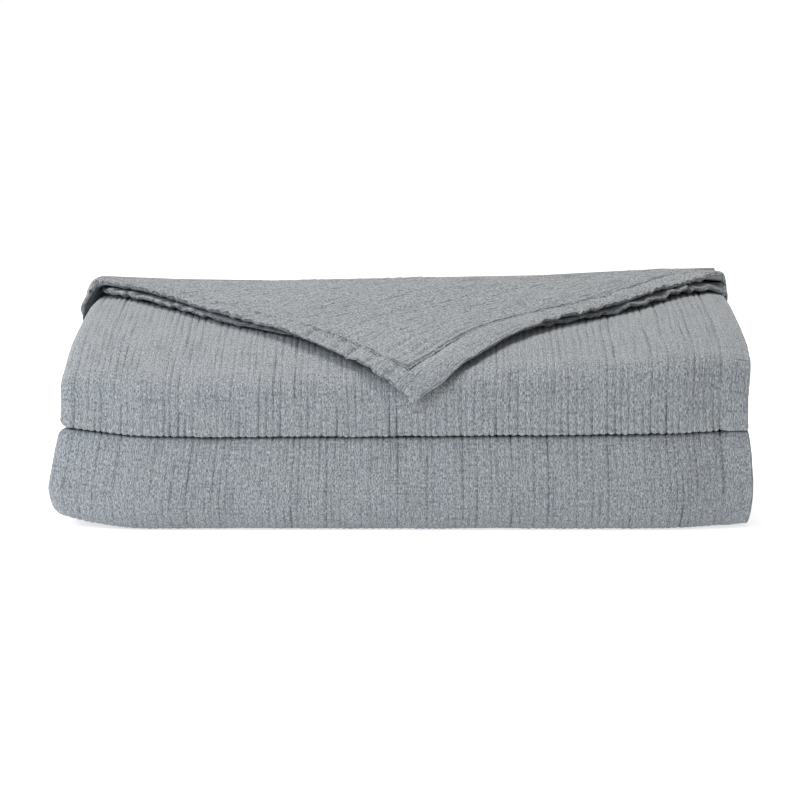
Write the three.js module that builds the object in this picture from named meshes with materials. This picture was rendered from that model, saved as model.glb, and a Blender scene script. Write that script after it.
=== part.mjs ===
// Quilted coverlet, folded into a low stack with one doubled corner turned over its top.
// Millimetres, +Z up, +X to the right, the two rounded front folds face -Y, resting on z = 0.
// The cloth is one piece. It is folded in four across its width, in half along its length, and then
// laid back and forth in four panels, so that two thick folds show at the front. At the back of the
// top panel two of its layers turn up and forward again, and lie over the top as a hemmed corner.
import * as THREE from "three";

// The cloth
const clothThickness = 3.2;
const layerPitch = 4.92;
const layersPerHalf = 4;
const halfBundle = layersPerHalf * layerPitch;
const bundle = 2 * halfBundle;

// The folded width: the outer side fold ends at the left, the hems and an inner fold at the right
const leftReach = 293;
const rightReach = 295;
const outerSideFold = 1.5 * layerPitch;
const innerSideFold = 0.5 * layerPitch;
const leftFoldX = leftReach - outerSideFold - clothThickness / 2;
const rightFoldX = rightReach - innerSideFold - clothThickness / 2;

// The folded depth: the centres of the front and back folds, and how far the folds bulge past them.
// A fold is a little squarer than round, and squarer still where the two tiers press together.
const foldCentreY = 136;
const foldBulge = 0.75;
const foldSquareness = 2.8;
const seamSquareness = 6;
const innerEndY = 144;
const topEndY = 148;

// The turned corner: its length from the back edge to its tip, where its middle lies, how far its
// right edge is bowed in, and how the tip stands off the front fold
const cornerLength = 350;
const cornerMiddleX = 12;
const cornerShiftedAt = 78;
const rightEdgeBow = 8;
const bowFromHalfWidth = 20;
const bowOverHalfWidth = 210;
const cornerLift = 0.8;
const tipHalfWidth = 3;
const tipStandOff = 4;
const standOffFrom = 0.7;
const standOffOver = 110;
const quarterTurnLength = 1.42;

// Past the sides the corner widens into two lappets, which bend down over the sides and then hang.
// The upper layer's bend on the left flares away from the back edge.
const lappetWidestAt = 16;
const leftDrapeX = 285;
const rightDrapeX = 293;
const leftDrapeRadius = 3;
const rightDrapeRadius = 3;
const flareFrom = 4;
const flareTo = 30;

// The lower layer's edges lie inside the upper's, by more and more from the back to the tip
const setBackFrom = 40;
const setBackTo = 275;

// Ribs run along the length of the cloth: grooves of uneven spacing between flat crowns
const ribWidth = 20;
const ribUnevenness = 0.24;
const ribWaves = { slow: 2.4, quick: 5.3 };
const grooveDepth = 1.1;
const hemWidth = 25;

// How the stack has settled. Upper tier: depth back from the front, thickness against a flat stack.
const upperTierSettle = [
  { depth: 0, thickness: 0.68 },
  { depth: 30, thickness: 0.73 },
  { depth: 50, thickness: 0.83 },
  { depth: 70, thickness: 0.92 },
  { depth: 95, thickness: 1.0 },
  { depth: 175, thickness: 1.13 },
  { depth: 230, thickness: 1.18 },
  { depth: 331, thickness: 1.175 },
];
// Side settle: height, reach of the left and of the right side against the full folded width
const sideSettle = [
  { height: 0, left: 0.99, right: 0.995 },
  { height: 25, left: 1.0, right: 1.003 },
  { height: 50, left: 0.985, right: 1.003 },
  { height: 79, left: 0.965, right: 0.989 },
  { height: 100, left: 0.958, right: 0.983 },
  { height: 120, left: 0.961, right: 0.989 },
  { height: 145, left: 0.954, right: 0.999 },
  { height: 190, left: 0.936, right: 0.985 },
];
// Towards the sides: how far from the middle each change begins, over what distance it grows to the
// amount given, in millimetres or, for the rounding, as a share of the depth
const endRounding = { from: 205, over: 110, amount: 0.1 };
const leftEndLift = { from: 210, over: 83, amount: 11 };
const rightEndLift = { from: 235, over: 60, amount: 3 };
const topEdgeRise = { from: 165, over: 85, amount: 4 };
const topEdgeDroop = { from: 255, over: 40, amount: 7 };
const liftLostAtTop = 0.55;
const droopEndsAbove = 9;
const topTilt = 5;

// Facets
const foldSteps = 6;
const outerSideFoldSteps = 3;
const innerSideFoldSteps = 2;
const lowerPanelSteps = 1;
const upperPanelSteps = 4;
const acrossShares = [0, 0.08, 0.2, 0.8, 0.92, 1];
const backTurnSteps = 4;
const lappetRows = [0, 5, 10, 15, 20];
const cornerRowsFrom = 26;
const cornerRowPitch = 26;
const cornerBendRowPitch = 12;
const bendRowsTo = 74;
const firstRibRow = 15;
const startFoldSteps = 4;
const smallestStep = 4;
// Running places past the sides are moved this far out, so that rows match side by side
const sideStations = 2000;

const tierHeight = 2 * bundle;
const stackTop = 2 * tierHeight;
const foldDepth = foldBulge * bundle;
const stackFront = -foldCentreY - foldDepth;
const groundShift = layerPitch / 2 - clothThickness / 2;

function mix(a, b, share) {
  return a + (b - a) * share;
}

function smooth(value) {
  const share = Math.min(1, Math.max(0, value));
  return share * share * (3 - 2 * share);
}

// Reads a column of a short table at a given place, easing between its rows
function readTable(table, key, place, column) {
  let row = 0;
  while (row < table.length - 2 && place > table[row + 1][key]) {
    row += 1;
  }
  const span = table[row + 1][key] - table[row][key];
  const share = Math.min(1, Math.max(0, (place - table[row][key]) / span));
  return mix(table[row][column], table[row + 1][column], share);
}

// How far a place lies into a change that begins at one distance and is full after another
function into(place, change) {
  return Math.max(0, (place - change.from) / change.over);
}

// The settling moves every point smoothly, so layers that lie apart stay apart
function settle([x, y, z]) {
  const depth = y - stackFront;
  const upper = Math.max(0, z - tierHeight);
  const lower = Math.min(z, tierHeight);
  let height = lower + upper * readTable(upperTierSettle, "depth", depth, "thickness");
  const side = x < 0 ? "left" : "right";
  const reach = x * readTable(sideSettle, "height", height, side);
  const across = y * (1 - endRounding.amount * smooth(into(Math.abs(x), endRounding)));
  const fade = 1 - liftLostAtTop * Math.min(1, Math.max(0, z / stackTop));
  height += fade * leftEndLift.amount * into(-x, leftEndLift) ** 2;
  height += fade * rightEndLift.amount * into(x, rightEndLift) ** 2;
  const droop = topEdgeDroop.amount * into(Math.abs(x), topEdgeDroop) ** 2;
  const rise = topTilt * (x / rightReach) + topEdgeRise.amount * smooth(into(Math.abs(x), topEdgeRise))
    - droop * (1 - smooth((z - stackTop) / droopEndsAbove));
  height += rise * (z / stackTop) ** 2;
  return [reach, across, height];
}

// Half a turn, flattened so that the fold's face stands upright: more for a higher squareness
function foldCurve(angle, squareness) {
  const power = 2 / squareness;
  const out = Math.abs(Math.sin(angle)) ** power;
  const along = Math.sign(Math.cos(angle)) * Math.abs(Math.cos(angle)) ** power;
  return { out, along };
}

// Across the width: from the hem of the first layer round three side folds to the last hem.
// offset is the distance from the middle of the cloth towards its outer face. The result is the
// place from left to right, and the distance from the middle of the bundle.
const layerWidth = rightReach + leftFoldX;
const innerLayerWidth = rightFoldX + leftFoldX;
const outerFoldArc = Math.PI * outerSideFold;
const innerFoldArc = Math.PI * innerSideFold;
const acrossPieces = [
  { kind: "layer", length: layerWidth, x: rightReach, way: -1, level: 3.5, turn: 0, radius: 0, face: 1 },
  { kind: "fold", length: outerFoldArc, x: -leftFoldX, way: -1, level: 2, turn: -1, radius: outerSideFold,
    face: 1 },
  { kind: "layer", length: innerLayerWidth, x: -leftFoldX, way: 1, level: 0.5, turn: 0, radius: 0, face: -1 },
  { kind: "fold", length: innerFoldArc, x: rightFoldX, way: 1, level: 1, turn: 1, radius: innerSideFold,
    face: 1 },
  { kind: "layer", length: innerLayerWidth, x: rightFoldX, way: -1, level: 1.5, turn: 0, radius: 0, face: 1 },
  { kind: "fold", length: innerFoldArc, x: -leftFoldX, way: -1, level: 2, turn: 1, radius: innerSideFold,
    face: -1 },
  { kind: "layer", length: layerWidth, x: -leftFoldX, way: 1, level: 2.5, turn: 0, radius: 0, face: -1 },
];

function acrossPoint(piece, share, offset) {
  if (piece.kind === "layer") {
    return {
      x: piece.x + piece.way * piece.length * share,
      level: piece.level * layerPitch + piece.face * offset,
    };
  }
  const angle = Math.PI * share;
  const radius = piece.radius + piece.face * offset;
  return {
    x: piece.x + piece.way * radius * Math.sin(angle),
    level: piece.level * layerPitch - piece.turn * radius * Math.cos(angle),
  };
}

// Ribs: the places of their grooves, measured from the hem of the first layer
function ribGrooves(length) {
  const grooves = [hemWidth];
  let place = hemWidth;
  for (let rib = 1; place < length - ribWidth; rib += 1) {
    const slow = Math.sin(ribWaves.slow * rib);
    const quick = Math.sin(ribWaves.quick * rib);
    place += ribWidth * (1 + ribUnevenness * (slow + quick / 2));
    grooves.push(place);
  }
  return grooves.filter((groove) => groove < length - ribWidth / 3);
}

// Each groove is one line of points set in, with a line of points on the crown to either side
function ribStations(length) {
  const stations = [{ place: 0, relief: 0 }];
  const grooves = ribGrooves(length);
  grooves.forEach((groove, index) => {
    const before = index === 0 ? 0 : grooves[index - 1];
    stations.push({ place: (before + groove) / 2, relief: 0 });
    stations.push({ place: groove, relief: -grooveDepth });
  });
  stations.push({ place: length, relief: 0 });
  return stations;
}

// The list of stations across the cloth. The ribs are raised on the first layer where it shows.
function acrossStations(ribbed) {
  const list = [];
  let start = 0;
  acrossPieces.forEach((piece, index) => {
    let stations;
    if (piece.kind === "fold") {
      const steps = piece.radius === outerSideFold ? outerSideFoldSteps : innerSideFoldSteps;
      stations = evenStations(steps).slice(1, -1);
    } else if (index === 0 && ribbed) {
      stations = ribStations(piece.length).map(({ place, relief }) => ({
        share: place / piece.length,
        relief,
      }));
    } else {
      stations = acrossShares.map((share) => ({ share, relief: 0 }));
    }
    stations.forEach(({ share, relief }) => {
      list.push({ piece, index, share, relief, at: start + share * piece.length });
    });
    start += piece.length;
  });
  return list;
}

function evenStations(steps) {
  return Array.from({ length: steps + 1 }, (_, step) => ({ share: step / steps, relief: 0 }));
}

// Along the length: straight panels and the folds between them. bundleLevel is measured through the
// bundle, 0 on the face that wraps the back fold and bundle on the face that wraps the front folds.
const panelEnds = [
  { from: innerEndY, to: -foldCentreY },
  { from: -foldCentreY, to: foldCentreY },
  { from: foldCentreY, to: -foldCentreY },
  { from: -foldCentreY, to: topEndY },
];

function alongPoint(station, bundleLevel) {
  const panel = station.panel;
  const rising = panel % 2 === 1;
  const panelFloor = panel * bundle;
  if (station.kind === "panel") {
    const ends = panelEnds[panel];
    const level = rising ? bundleLevel : bundle - bundleLevel;
    return { y: mix(ends.from, ends.to, station.share), z: panelFloor + level };
  }
  const atFront = !rising;
  const radius = atFront ? bundleLevel : bundle - bundleLevel;
  const toSeam = (panel === 0 && station.angle > Math.PI / 2) || (panel === 2 && station.angle < Math.PI / 2);
  const { out, along } = foldCurve(station.angle, toSeam ? seamSquareness : foldSquareness);
  const way = atFront ? -1 : 1;
  return {
    y: way * (foldCentreY + foldBulge * radius * out),
    z: panelFloor + bundle - radius * along,
  };
}

function alongStations() {
  const list = [];
  for (let panel = 0; panel < panelEnds.length; panel += 1) {
    const steps = panel < 2 ? lowerPanelSteps : upperPanelSteps;
    for (let step = 0; step <= steps; step += 1) {
      list.push({ kind: "panel", panel, share: step / steps });
    }
    if (panel < panelEnds.length - 1) {
      for (let step = 1; step < foldSteps; step += 1) {
        list.push({ kind: "fold", panel, angle: (Math.PI * step) / foldSteps });
      }
    }
  }
  return list;
}

// The mesh under construction
const points = [];
const triangles = [];

function addPoint(place) {
  points.push(...settle(place));
  return points.length / 3 - 1;
}

// Joins two rows of points with triangles, stepping along whichever row is behind
function joinRows(first, second, turned) {
  let i = 0;
  let j = 0;
  while (i < first.length - 1 || j < second.length - 1) {
    const stepFirst = j === second.length - 1
      || (i < first.length - 1 && first[i + 1].at <= second[j + 1].at + 1e-6);
    const third = stepFirst ? first[i + 1].id : second[j + 1].id;
    const corner = [first[i].id, second[j].id, third];
    triangles.push(...(turned ? corner.reverse() : corner));
    if (stepFirst) {
      i += 1;
    } else {
      j += 1;
    }
  }
}

function joinFour(a, b, c, d) {
  triangles.push(a, c, b, a, d, c);
}

// Joins the two faces of one row to those of the next, and closes both side edges
function joinClothRows(first, second) {
  joinRows(first.outer, second.outer, false);
  joinRows(first.inner, second.inner, true);
  closeStart(first, second);
  closeEnd(first, second);
}

function closeStart(first, second) {
  joinFour(first.outer[0].id, second.outer[0].id, second.inner[0].id, first.inner[0].id);
}

function closeEnd(first, second) {
  joinFour(second.outer.at(-1).id, first.outer.at(-1).id, first.inner.at(-1).id, second.inner.at(-1).id);
}

// One row across the folded cloth. half is 1 for the half that wraps the front folds, -1 for the
// other, and startAngle turns from one to the other round the fold at the start of the bundle.
function bundleRow(station, half, ribbed, startAngle) {
  const face = (stations, offset) => stations.map((across) => {
    const { x, level } = acrossPoint(across.piece, across.share, offset);
    const distance = level + (offset > 0 ? across.relief : 0);
    let place;
    if (startAngle === undefined) {
      place = alongPoint(station, halfBundle + half * distance);
    } else {
      const { out, along } = foldCurve(startAngle, foldSquareness);
      place = alongPoint(station, halfBundle - distance * along);
      place.y += foldBulge * distance * out;
    }
    return { ...across, id: addPoint([x, place.y, place.z - groundShift]) };
  });
  return {
    outer: face(acrossStations(ribbed), clothThickness / 2),
    inner: face(acrossStations(false), -clothThickness / 2),
  };
}

// The ribs are raised on the folds that show, to where each runs in between the tiers, and on the top
function isRibbed(station, half) {
  const fold = station.kind === "fold" ? station.panel : station.panel - 1 + station.share;
  if (half < 0) {
    return fold === 1;
  }
  return fold === 0 || fold === 2 || (station.panel === 3 && station.share < 0.9);
}

function layBundle() {
  const stations = alongStations();
  const rows = [];
  [...stations].reverse().forEach((station) => {
    rows.push(bundleRow(station, -1, isRibbed(station, -1)));
  });
  const start = stations[0];
  for (let step = 1; step < startFoldSteps; step += 1) {
    rows.push(bundleRow(start, 1, false, (Math.PI * step) / startFoldSteps));
  }
  stations.forEach((station) => {
    rows.push(bundleRow(station, 1, isRibbed(station, 1)));
  });
  for (let row = 1; row < rows.length; row += 1) {
    joinClothRows(rows[row - 1], rows[row]);
  }
  joinRows(rows[0].inner, rows[0].outer, false);
  return rows.at(-1);
}

// The turned corner. forward is the distance from the back edge along the top and down the front,
// sideways is measured flat from the middle. The tip stands off the front fold by a few millimetres.
function cornerPoint(forward, sideways, heightOverStack, layer) {
  const flatLength = topEndY + foldCentreY;
  const level = heightOverStack + tipStandOff * smooth((forward - flatLength * standOffFrom) / standOffOver);
  const radius = bundle + level;
  let y = topEndY - forward;
  let z = stackTop + level;
  if (forward > flatLength) {
    const quarter = quarterTurnLength * radius;
    const turn = Math.min(1, (forward - flatLength) / quarter);
    const { out, along } = foldCurve((Math.PI / 2) * turn, foldSquareness);
    y = -foldCentreY - foldBulge * radius * out;
    z = stackTop - bundle + radius * along - Math.max(0, forward - flatLength - quarter);
  }
  const { x, drop } = sideBend(sideways, level, forward, layer);
  return [x, y, z - drop - groundShift];
}

// The bend over a side: a quarter circle of its radius and the height over the stack
function bendRadius(sideways, level, forward, layer) {
  const widening = layer.flare * smooth((forward - flareFrom) / (flareTo - flareFrom));
  return level + (sideways < 0 ? leftDrapeRadius + widening : rightDrapeRadius);
}

// What lies past a side turns down in that quarter circle and then hangs straight
function sideBend(sideways, level, forward, layer) {
  const radius = bendRadius(sideways, level, forward, layer);
  const edge = sideways < 0 ? leftDrapeX : rightDrapeX;
  const past = Math.max(0, Math.abs(sideways) - edge);
  const arc = (Math.PI / 2) * radius;
  const angle = (Math.PI / 2) * Math.min(1, past / arc);
  return {
    x: Math.sign(sideways) * (Math.min(Math.abs(sideways), edge) + radius * Math.sin(angle)),
    drop: radius * (1 - Math.cos(angle)) + Math.max(0, past - arc),
  };
}

// The two ends of the turned corner at a distance from the back edge: it narrows to its tip, and near
// the back edge it widens from the width of the last layer to its two lappets
function cornerEnds(forward, layer) {
  const share = Math.min(1, Math.max(0, (forward - setBackFrom) / (setBackTo - setBackFrom)));
  const setBack = mix(layer.setBackAtBack, layer.setBackAtTip, share);
  const pointed = cornerLength - setBack * Math.SQRT2 - forward;
  const widening = smooth(forward / lappetWidestAt);
  const middle = cornerMiddleX * smooth(forward / cornerShiftedAt);
  const bowShare = Math.min(1, Math.max(0, (pointed - bowFromHalfWidth) / bowOverHalfWidth));
  const bow = rightEdgeBow * Math.sin(Math.PI * bowShare);
  return {
    leftEnd: middle - Math.min(pointed, mix(leftFoldX, layer.leftWidest, widening)),
    rightEnd: middle + Math.min(pointed, mix(rightReach, layer.rightWidest, widening)) - bow,
  };
}

function cornerRow(forward, layer) {
  const ribbed = layer.ribbed && forward >= firstRibRow;
  const { leftEnd, rightEnd } = cornerEnds(forward, layer);
  const face = (offset, withRibs) => {
    const stations = cornerStations(leftEnd, rightEnd, forward, withRibs, layer);
    const list = stations.map(({ place, relief, at, evenAt }) => ({
      at: layer.way * at,
      evenAt: layer.way * evenAt,
      id: addPoint(cornerPoint(forward, place, layer.level + layer.face * offset + relief, layer)),
    }));
    return layer.way > 0 ? list : list.reverse();
  };
  return {
    ribbed,
    outer: face(clothThickness / 2, ribbed),
    inner: face(-clothThickness / 2, false),
  };
}

// Stations across the turned corner from left to right: a few over each side that it drapes, and
// between them either the ribs or a few even steps. Its ribs lie along its right edge, so each keeps
// its distance from that edge from row to row.
function cornerStations(leftEnd, rightEnd, forward, ribbed, layer) {
  const from = Math.max(leftEnd, -leftDrapeX);
  const to = Math.min(rightEnd, rightDrapeX);
  const even = acrossShares.slice(1, -1).map((share) => ({ place: mix(from, to, share), relief: 0 }));
  const inner = ribbed ? cornerRibs(from, to, forward) : even;
  const stations = [{ place: from, relief: 0 }, ...inner, { place: to, relief: 0 }].map((station) => {
    const evenAt = (2 * (station.place - from)) / (to - from) - 1;
    return { ...station, evenAt, at: ribbed ? station.place + forward : evenAt };
  });
  const draped = (end, edge, way) => {
    if (way * (end - edge) <= 0) {
      return [];
    }
    const arc = (Math.PI / 2) * bendRadius(end, layer.level, forward, layer);
    const steps = [edge + way * arc / 2, edge + way * arc];
    const inside = steps.filter((place) => way * (end - place) > smallestStep);
    return [...inside, end].map((place) => {
      const at = place + way * sideStations;
      return { place, relief: 0, at, evenAt: at };
    });
  };
  return [...draped(leftEnd, -leftDrapeX, -1).reverse(), ...stations, ...draped(rightEnd, rightDrapeX, 1)];
}

function cornerRibs(from, to, forward) {
  const edge = cornerMiddleX + cornerLength - forward;
  const along = ribStations(2 * cornerLength).map(({ place, relief }) => ({
    place: edge - place * Math.SQRT2,
    relief,
  }));
  const inside = along.filter(({ place }) => place > from + smallestStep && place < to - smallestStep);
  return inside.sort((a, b) => a.place - b.place);
}

// Turns one layer of the bundle's last row up, over and forward to its tip. Round the back turn it
// bends over the sides more and more, to match the rows of the corner that follow.
function layCorner(lastRow, pieceIndex, layer) {
  const pick = (list) => list.filter((entry) => entry.index === pieceIndex);
  const last = { outer: pick(lastRow.outer), inner: pick(lastRow.inner) };
  let previous = last;
  const turnFace = (list, offset, angle) => list.map((entry) => {
    const { x } = acrossPoint(entry.piece, entry.share, offset);
    const radius = layer.turnRadius + layer.face * offset;
    const turned = (1 - Math.cos(angle)) / 2;
    const bent = sideBend(x, layer.level + layer.face * offset, 0, layer);
    const y = topEndY + radius * Math.sin(angle);
    const z = stackTop - radius * Math.cos(angle) + turned * (cornerLift - bent.drop);
    return { ...entry, id: addPoint([mix(x, bent.x, turned), y, z - groundShift]) };
  });
  for (let step = 1; step < backTurnSteps; step += 1) {
    const angle = (Math.PI * step) / backTurnSteps;
    const row = {
      outer: turnFace(last.outer, clothThickness / 2, angle),
      inner: turnFace(last.inner, -clothThickness / 2, angle),
    };
    joinClothRows(previous, row);
    previous = row;
  }
  previous = { outer: spreadAt(previous.outer, layer), inner: spreadAt(previous.inner, layer) };
  const length = cornerLength - layer.setBackAtTip * Math.SQRT2 - tipHalfWidth;
  cornerForwards(length).forEach((forward) => {
    const row = cornerRow(forward, layer);
    joinClothRows(previous, row.ribbed && !previous.ribbed ? evenly(row) : row);
    previous = row;
  });
  joinRows(previous.outer, previous.inner, false);
}

// Measures the first ribbed row by shares of its width, as the plain row before it is
function evenly(row) {
  return { outer: row.outer.map((entry) => ({ ...entry, at: entry.evenAt })), inner: row.inner };
}

// Gives a row of the back turn the same running measure as the rows of the turned corner
function spreadAt(list, layer) {
  return list.map((entry) => {
    const { x } = acrossPoint(entry.piece, entry.share, 0);
    return { ...entry, at: layer.way * (x / rightReach) };
  });
}

// Rows of the turned corner: close together in its lappets and where it bends over the front
function cornerForwards(length) {
  const rows = [...lappetRows];
  const bendStart = topEndY + foldCentreY - cornerRowPitch;
  for (let row = cornerRowsFrom; row < length - cornerBendRowPitch / 2;) {
    rows.push(row);
    row += row > bendRowsTo && row < bendStart ? cornerRowPitch : cornerBendRowPitch;
  }
  rows.push(length);
  return rows;
}

const lowerLayer = {
  way: -1,
  face: -1,
  ribbed: false,
  setBackAtBack: 1,
  setBackAtTip: 9,
  leftWidest: 291.5,
  rightWidest: 302,
  flare: 0,
  turnRadius: 0.5 * layerPitch,
  level: 0.5 * layerPitch + cornerLift,
};
const upperLayer = {
  way: 1,
  face: 1,
  ribbed: true,
  setBackAtBack: 0,
  setBackAtTip: 0,
  leftWidest: 342,
  rightWidest: 342,
  flare: 9,
  turnRadius: 1.5 * layerPitch,
  level: 1.5 * layerPitch + cornerLift,
};

// The end of the last row between the two layers that run on, from the first layer's side fold
function betweenCorners(list) {
  const lastPiece = acrossPieces.length - 1;
  const from = list.findIndex((entry) => entry.index === 0 && entry.share === 1);
  const to = list.findIndex((entry) => entry.index === lastPiece && entry.share === 0);
  return list.slice(from, to + 1);
}

function makeCoverlet() {
  const lastRow = layBundle();
  layCorner(lastRow, 0, lowerLayer);
  layCorner(lastRow, acrossPieces.length - 1, upperLayer);
  joinRows(betweenCorners(lastRow.outer), betweenCorners(lastRow.inner), false);
  const geometry = new THREE.BufferGeometry();
  geometry.setAttribute("position", new THREE.Float32BufferAttribute(points, 3));
  geometry.setIndex(triangles);
  geometry.computeBoundingBox();
  const middle = geometry.boundingBox.getCenter(new THREE.Vector3());
  return geometry.translate(-middle.x, -middle.y, 0);
}

const heatheredCloth = new THREE.MeshStandardMaterial({ color: 0x8d979d, roughness: 0.95, metalness: 0 });

const coverlet = new THREE.Mesh(makeCoverlet(), heatheredCloth);
coverlet.name = "coverlet";

const part = new THREE.Group();
part.add(coverlet);

export default part;
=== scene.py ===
"""Looks of the folded coverlet: its puckered cloth with the hems, the hem stitches and the stage.

Lengths in the formulas are millimetres, in the same folded shape as the part's source. A change is three
numbers: its height, where it starts, and over which length it happens.
"""

import math

import bpy
import numpy as np
from bpy.props import FloatProperty, FloatVectorProperty, PointerProperty
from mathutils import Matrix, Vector


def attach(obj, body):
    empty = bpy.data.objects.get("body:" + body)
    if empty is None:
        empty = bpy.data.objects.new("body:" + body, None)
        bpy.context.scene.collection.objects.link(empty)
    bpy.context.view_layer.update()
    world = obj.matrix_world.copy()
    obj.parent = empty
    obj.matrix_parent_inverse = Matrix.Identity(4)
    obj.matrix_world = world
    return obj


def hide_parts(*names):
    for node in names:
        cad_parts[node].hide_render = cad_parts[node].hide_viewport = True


bl_info = {
    "name": "Folded coverlet",
    "version": (1, 0, 0),
    "blender": (4, 5, 0),
    "location": "3D View > Sidebar > Coverlet",
    "description": "Makes a folded, finely ribbed coverlet with a turned corner, and a plain stage",
    "category": "Add Mesh",
}

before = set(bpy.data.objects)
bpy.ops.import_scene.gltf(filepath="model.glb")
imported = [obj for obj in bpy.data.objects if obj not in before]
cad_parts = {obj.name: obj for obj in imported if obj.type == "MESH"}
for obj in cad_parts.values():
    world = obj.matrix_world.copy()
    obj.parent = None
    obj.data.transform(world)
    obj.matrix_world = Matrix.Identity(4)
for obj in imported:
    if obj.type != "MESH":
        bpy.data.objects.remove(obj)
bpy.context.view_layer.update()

MM = 0.001
ROOT_2 = math.sqrt(2)
ROOT_BODY = "root"
CLOTH_NODE = "coverlet"

# The cloth, and the layers of the bundle that it is folded to across its width
THICKNESS = 3.2
PITCH = 4.92
HALF_BUNDLE = 4 * PITCH
BUNDLE = 2 * HALF_BUNDLE
LEFT_REACH = 293.0
RIGHT_REACH = 295.0
OUTER_SIDE_FOLD = 1.5 * PITCH
INNER_SIDE_FOLD = 0.5 * PITCH
LEFT_FOLD_X = LEFT_REACH - OUTER_SIDE_FOLD - THICKNESS / 2
RIGHT_FOLD_X = RIGHT_REACH - INNER_SIDE_FOLD - THICKNESS / 2
LAYER_WIDTH = RIGHT_REACH + LEFT_FOLD_X
INNER_LAYER_WIDTH = RIGHT_FOLD_X + LEFT_FOLD_X
# From the first hem at the right to the last: four layers and three side folds between them
ACROSS = {
    "is_fold": [0, 1, 0, 1, 0, 1, 0],
    "length": [LAYER_WIDTH, math.pi * OUTER_SIDE_FOLD, INNER_LAYER_WIDTH, math.pi * INNER_SIDE_FOLD,
               INNER_LAYER_WIDTH, math.pi * INNER_SIDE_FOLD, LAYER_WIDTH],
    "x": [RIGHT_REACH, -LEFT_FOLD_X, -LEFT_FOLD_X, RIGHT_FOLD_X, RIGHT_FOLD_X, -LEFT_FOLD_X, -LEFT_FOLD_X],
    "way": [-1, -1, 1, 1, -1, -1, 1],
    "level": [3.5, 2, 0.5, 1, 1.5, 2, 2.5],
    "turn": [0, -1, 0, 1, 0, 1, 0],
    "radius": [0, OUTER_SIDE_FOLD, 0, INNER_SIDE_FOLD, 0, INNER_SIDE_FOLD, 0],
    "face": [1, 1, -1, 1, 1, -1, -1],
    "steps": [0, 7, 0, 5, 0, 5, 0],
}
ACROSS = {name: np.array(values, float) for name, values in ACROSS.items()}
LAST_PIECE = 6

# The thick folds at the front and back, where the bundle is laid back and forth in four panels
FOLD_CENTRE_Y = 136.0
FOLD_BULGE = 0.75
INNER_END_Y = 144.0
TOP_END_Y = 148.0
PANEL_FROM = np.array([INNER_END_Y, -FOLD_CENTRE_Y, FOLD_CENTRE_Y, -FOLD_CENTRE_Y])
PANEL_TO = np.array([-FOLD_CENTRE_Y, FOLD_CENTRE_Y, -FOLD_CENTRE_Y, TOP_END_Y])
TIER_HEIGHT = 2 * BUNDLE
STACK_TOP = 2 * TIER_HEIGHT
STACK_FRONT = -FOLD_CENTRE_Y - FOLD_BULGE * BUNDLE
GROUND_SHIFT = PITCH / 2 - THICKNESS / 2
FOLD_SQUARENESS = 2.8
TOP_SQUARENESS = 2.3
# The lower and the upper tier's edge at the seam between them: squarer, and raised until they touch
SEAM_SQUARENESS = [8.0, 20.0]
SEAM_RISE = [4.6, 3.4]
SEAM_RISES = (1, 0.3, 0.5)

# How the stack has settled, as in the part's source but for the fuller right
UPPER_TIER_SETTLE = {
    "depth": [0, 30, 50, 70, 95, 175, 230, 331],
    "thickness": [0.68, 0.73, 0.83, 0.92, 1.0, 1.13, 1.18, 1.175],
}
SIDE_SETTLE = {
    "height": [0, 25, 50, 79, 100, 120, 145, 190],
    "left": [0.99, 1.0, 0.985, 0.965, 0.958, 0.961, 0.954, 0.936],
    "right": [0.995, 1.003, 1.003, 0.989, 0.983, 0.989, 0.999, 0.985],
}
FULLER_RIGHT = (0.09, 20, 120)
FULLER_ENDS = (1, 0, 100)
END_ROUNDING = (0.1, 205, 110)
LEFT_END_LIFT = (11.0, 210, 83)
RIGHT_END_LIFT = (3.0, 235, 60)
END_LIFT_FADE = 0.55
TOP_TILT = 5.0
TOP_EDGE_RISE = (4.0, 165, 85)
TOP_EDGE_DROOP = (7.0, 255, 40)
DROOP_ENDS = (1, STACK_TOP, 9.0)
# The part's origin is under the middle of its box, which moves every place by this much
BOX_SHIFT = np.array([-6.86, 5.01, 0.0])

# The turned corner. Its outline is a right angle whose edges are drawn in, by the distance from the tip
CORNER_LENGTH = 354.0
RIGHT_BOW = {
    "from_tip": [0, 15, 30, 45, 60, 75, 95, 120, 145, 170, 205, 240],
    "bow": [0, 2, 5, 9.5, 14, 18, 20, 20, 16, 9, -2, 0],
}
LEFT_BOW = {
    "from_tip": [0, 10, 22, 38, 52, 67, 82, 97, 140],
    "bow": [0.5, 2, 4, 6, 9, 11, 9.5, 6, 0],
}
CORNER_MIDDLE_X = 12.0
MIDDLE_SHIFT = (CORNER_MIDDLE_X, 0, 78.0)
LAPPET_WIDENS = (1, 0, 9.0)
SET_BACK_FROM = 150
SET_BACK_OVER = 100
CORNER_LIFT = 0.8
TOP_LENGTH = TOP_END_Y + FOLD_CENTRE_Y
QUARTER_TURN = 1.4
TIP_STAND_OFF = (4.0, 0.7 * TOP_LENGTH, 110)
TIP_HALF_WIDTH = 5.0
TIP_NARROWS_FROM = 22.0
# Where the corner starts to bend over each side, and where the left bend widens from back to front
LEFT_DRAPE_X = 285.0
RIGHT_DRAPE_X = 293.0
FLARES = (1, 3.0, 31.0)
# Rims of its turn at the back: the free one, and the one that is cut from the side fold
RIM_X = (np.array([RIGHT_REACH]), np.array([-LEFT_FOLD_X]))
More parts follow.
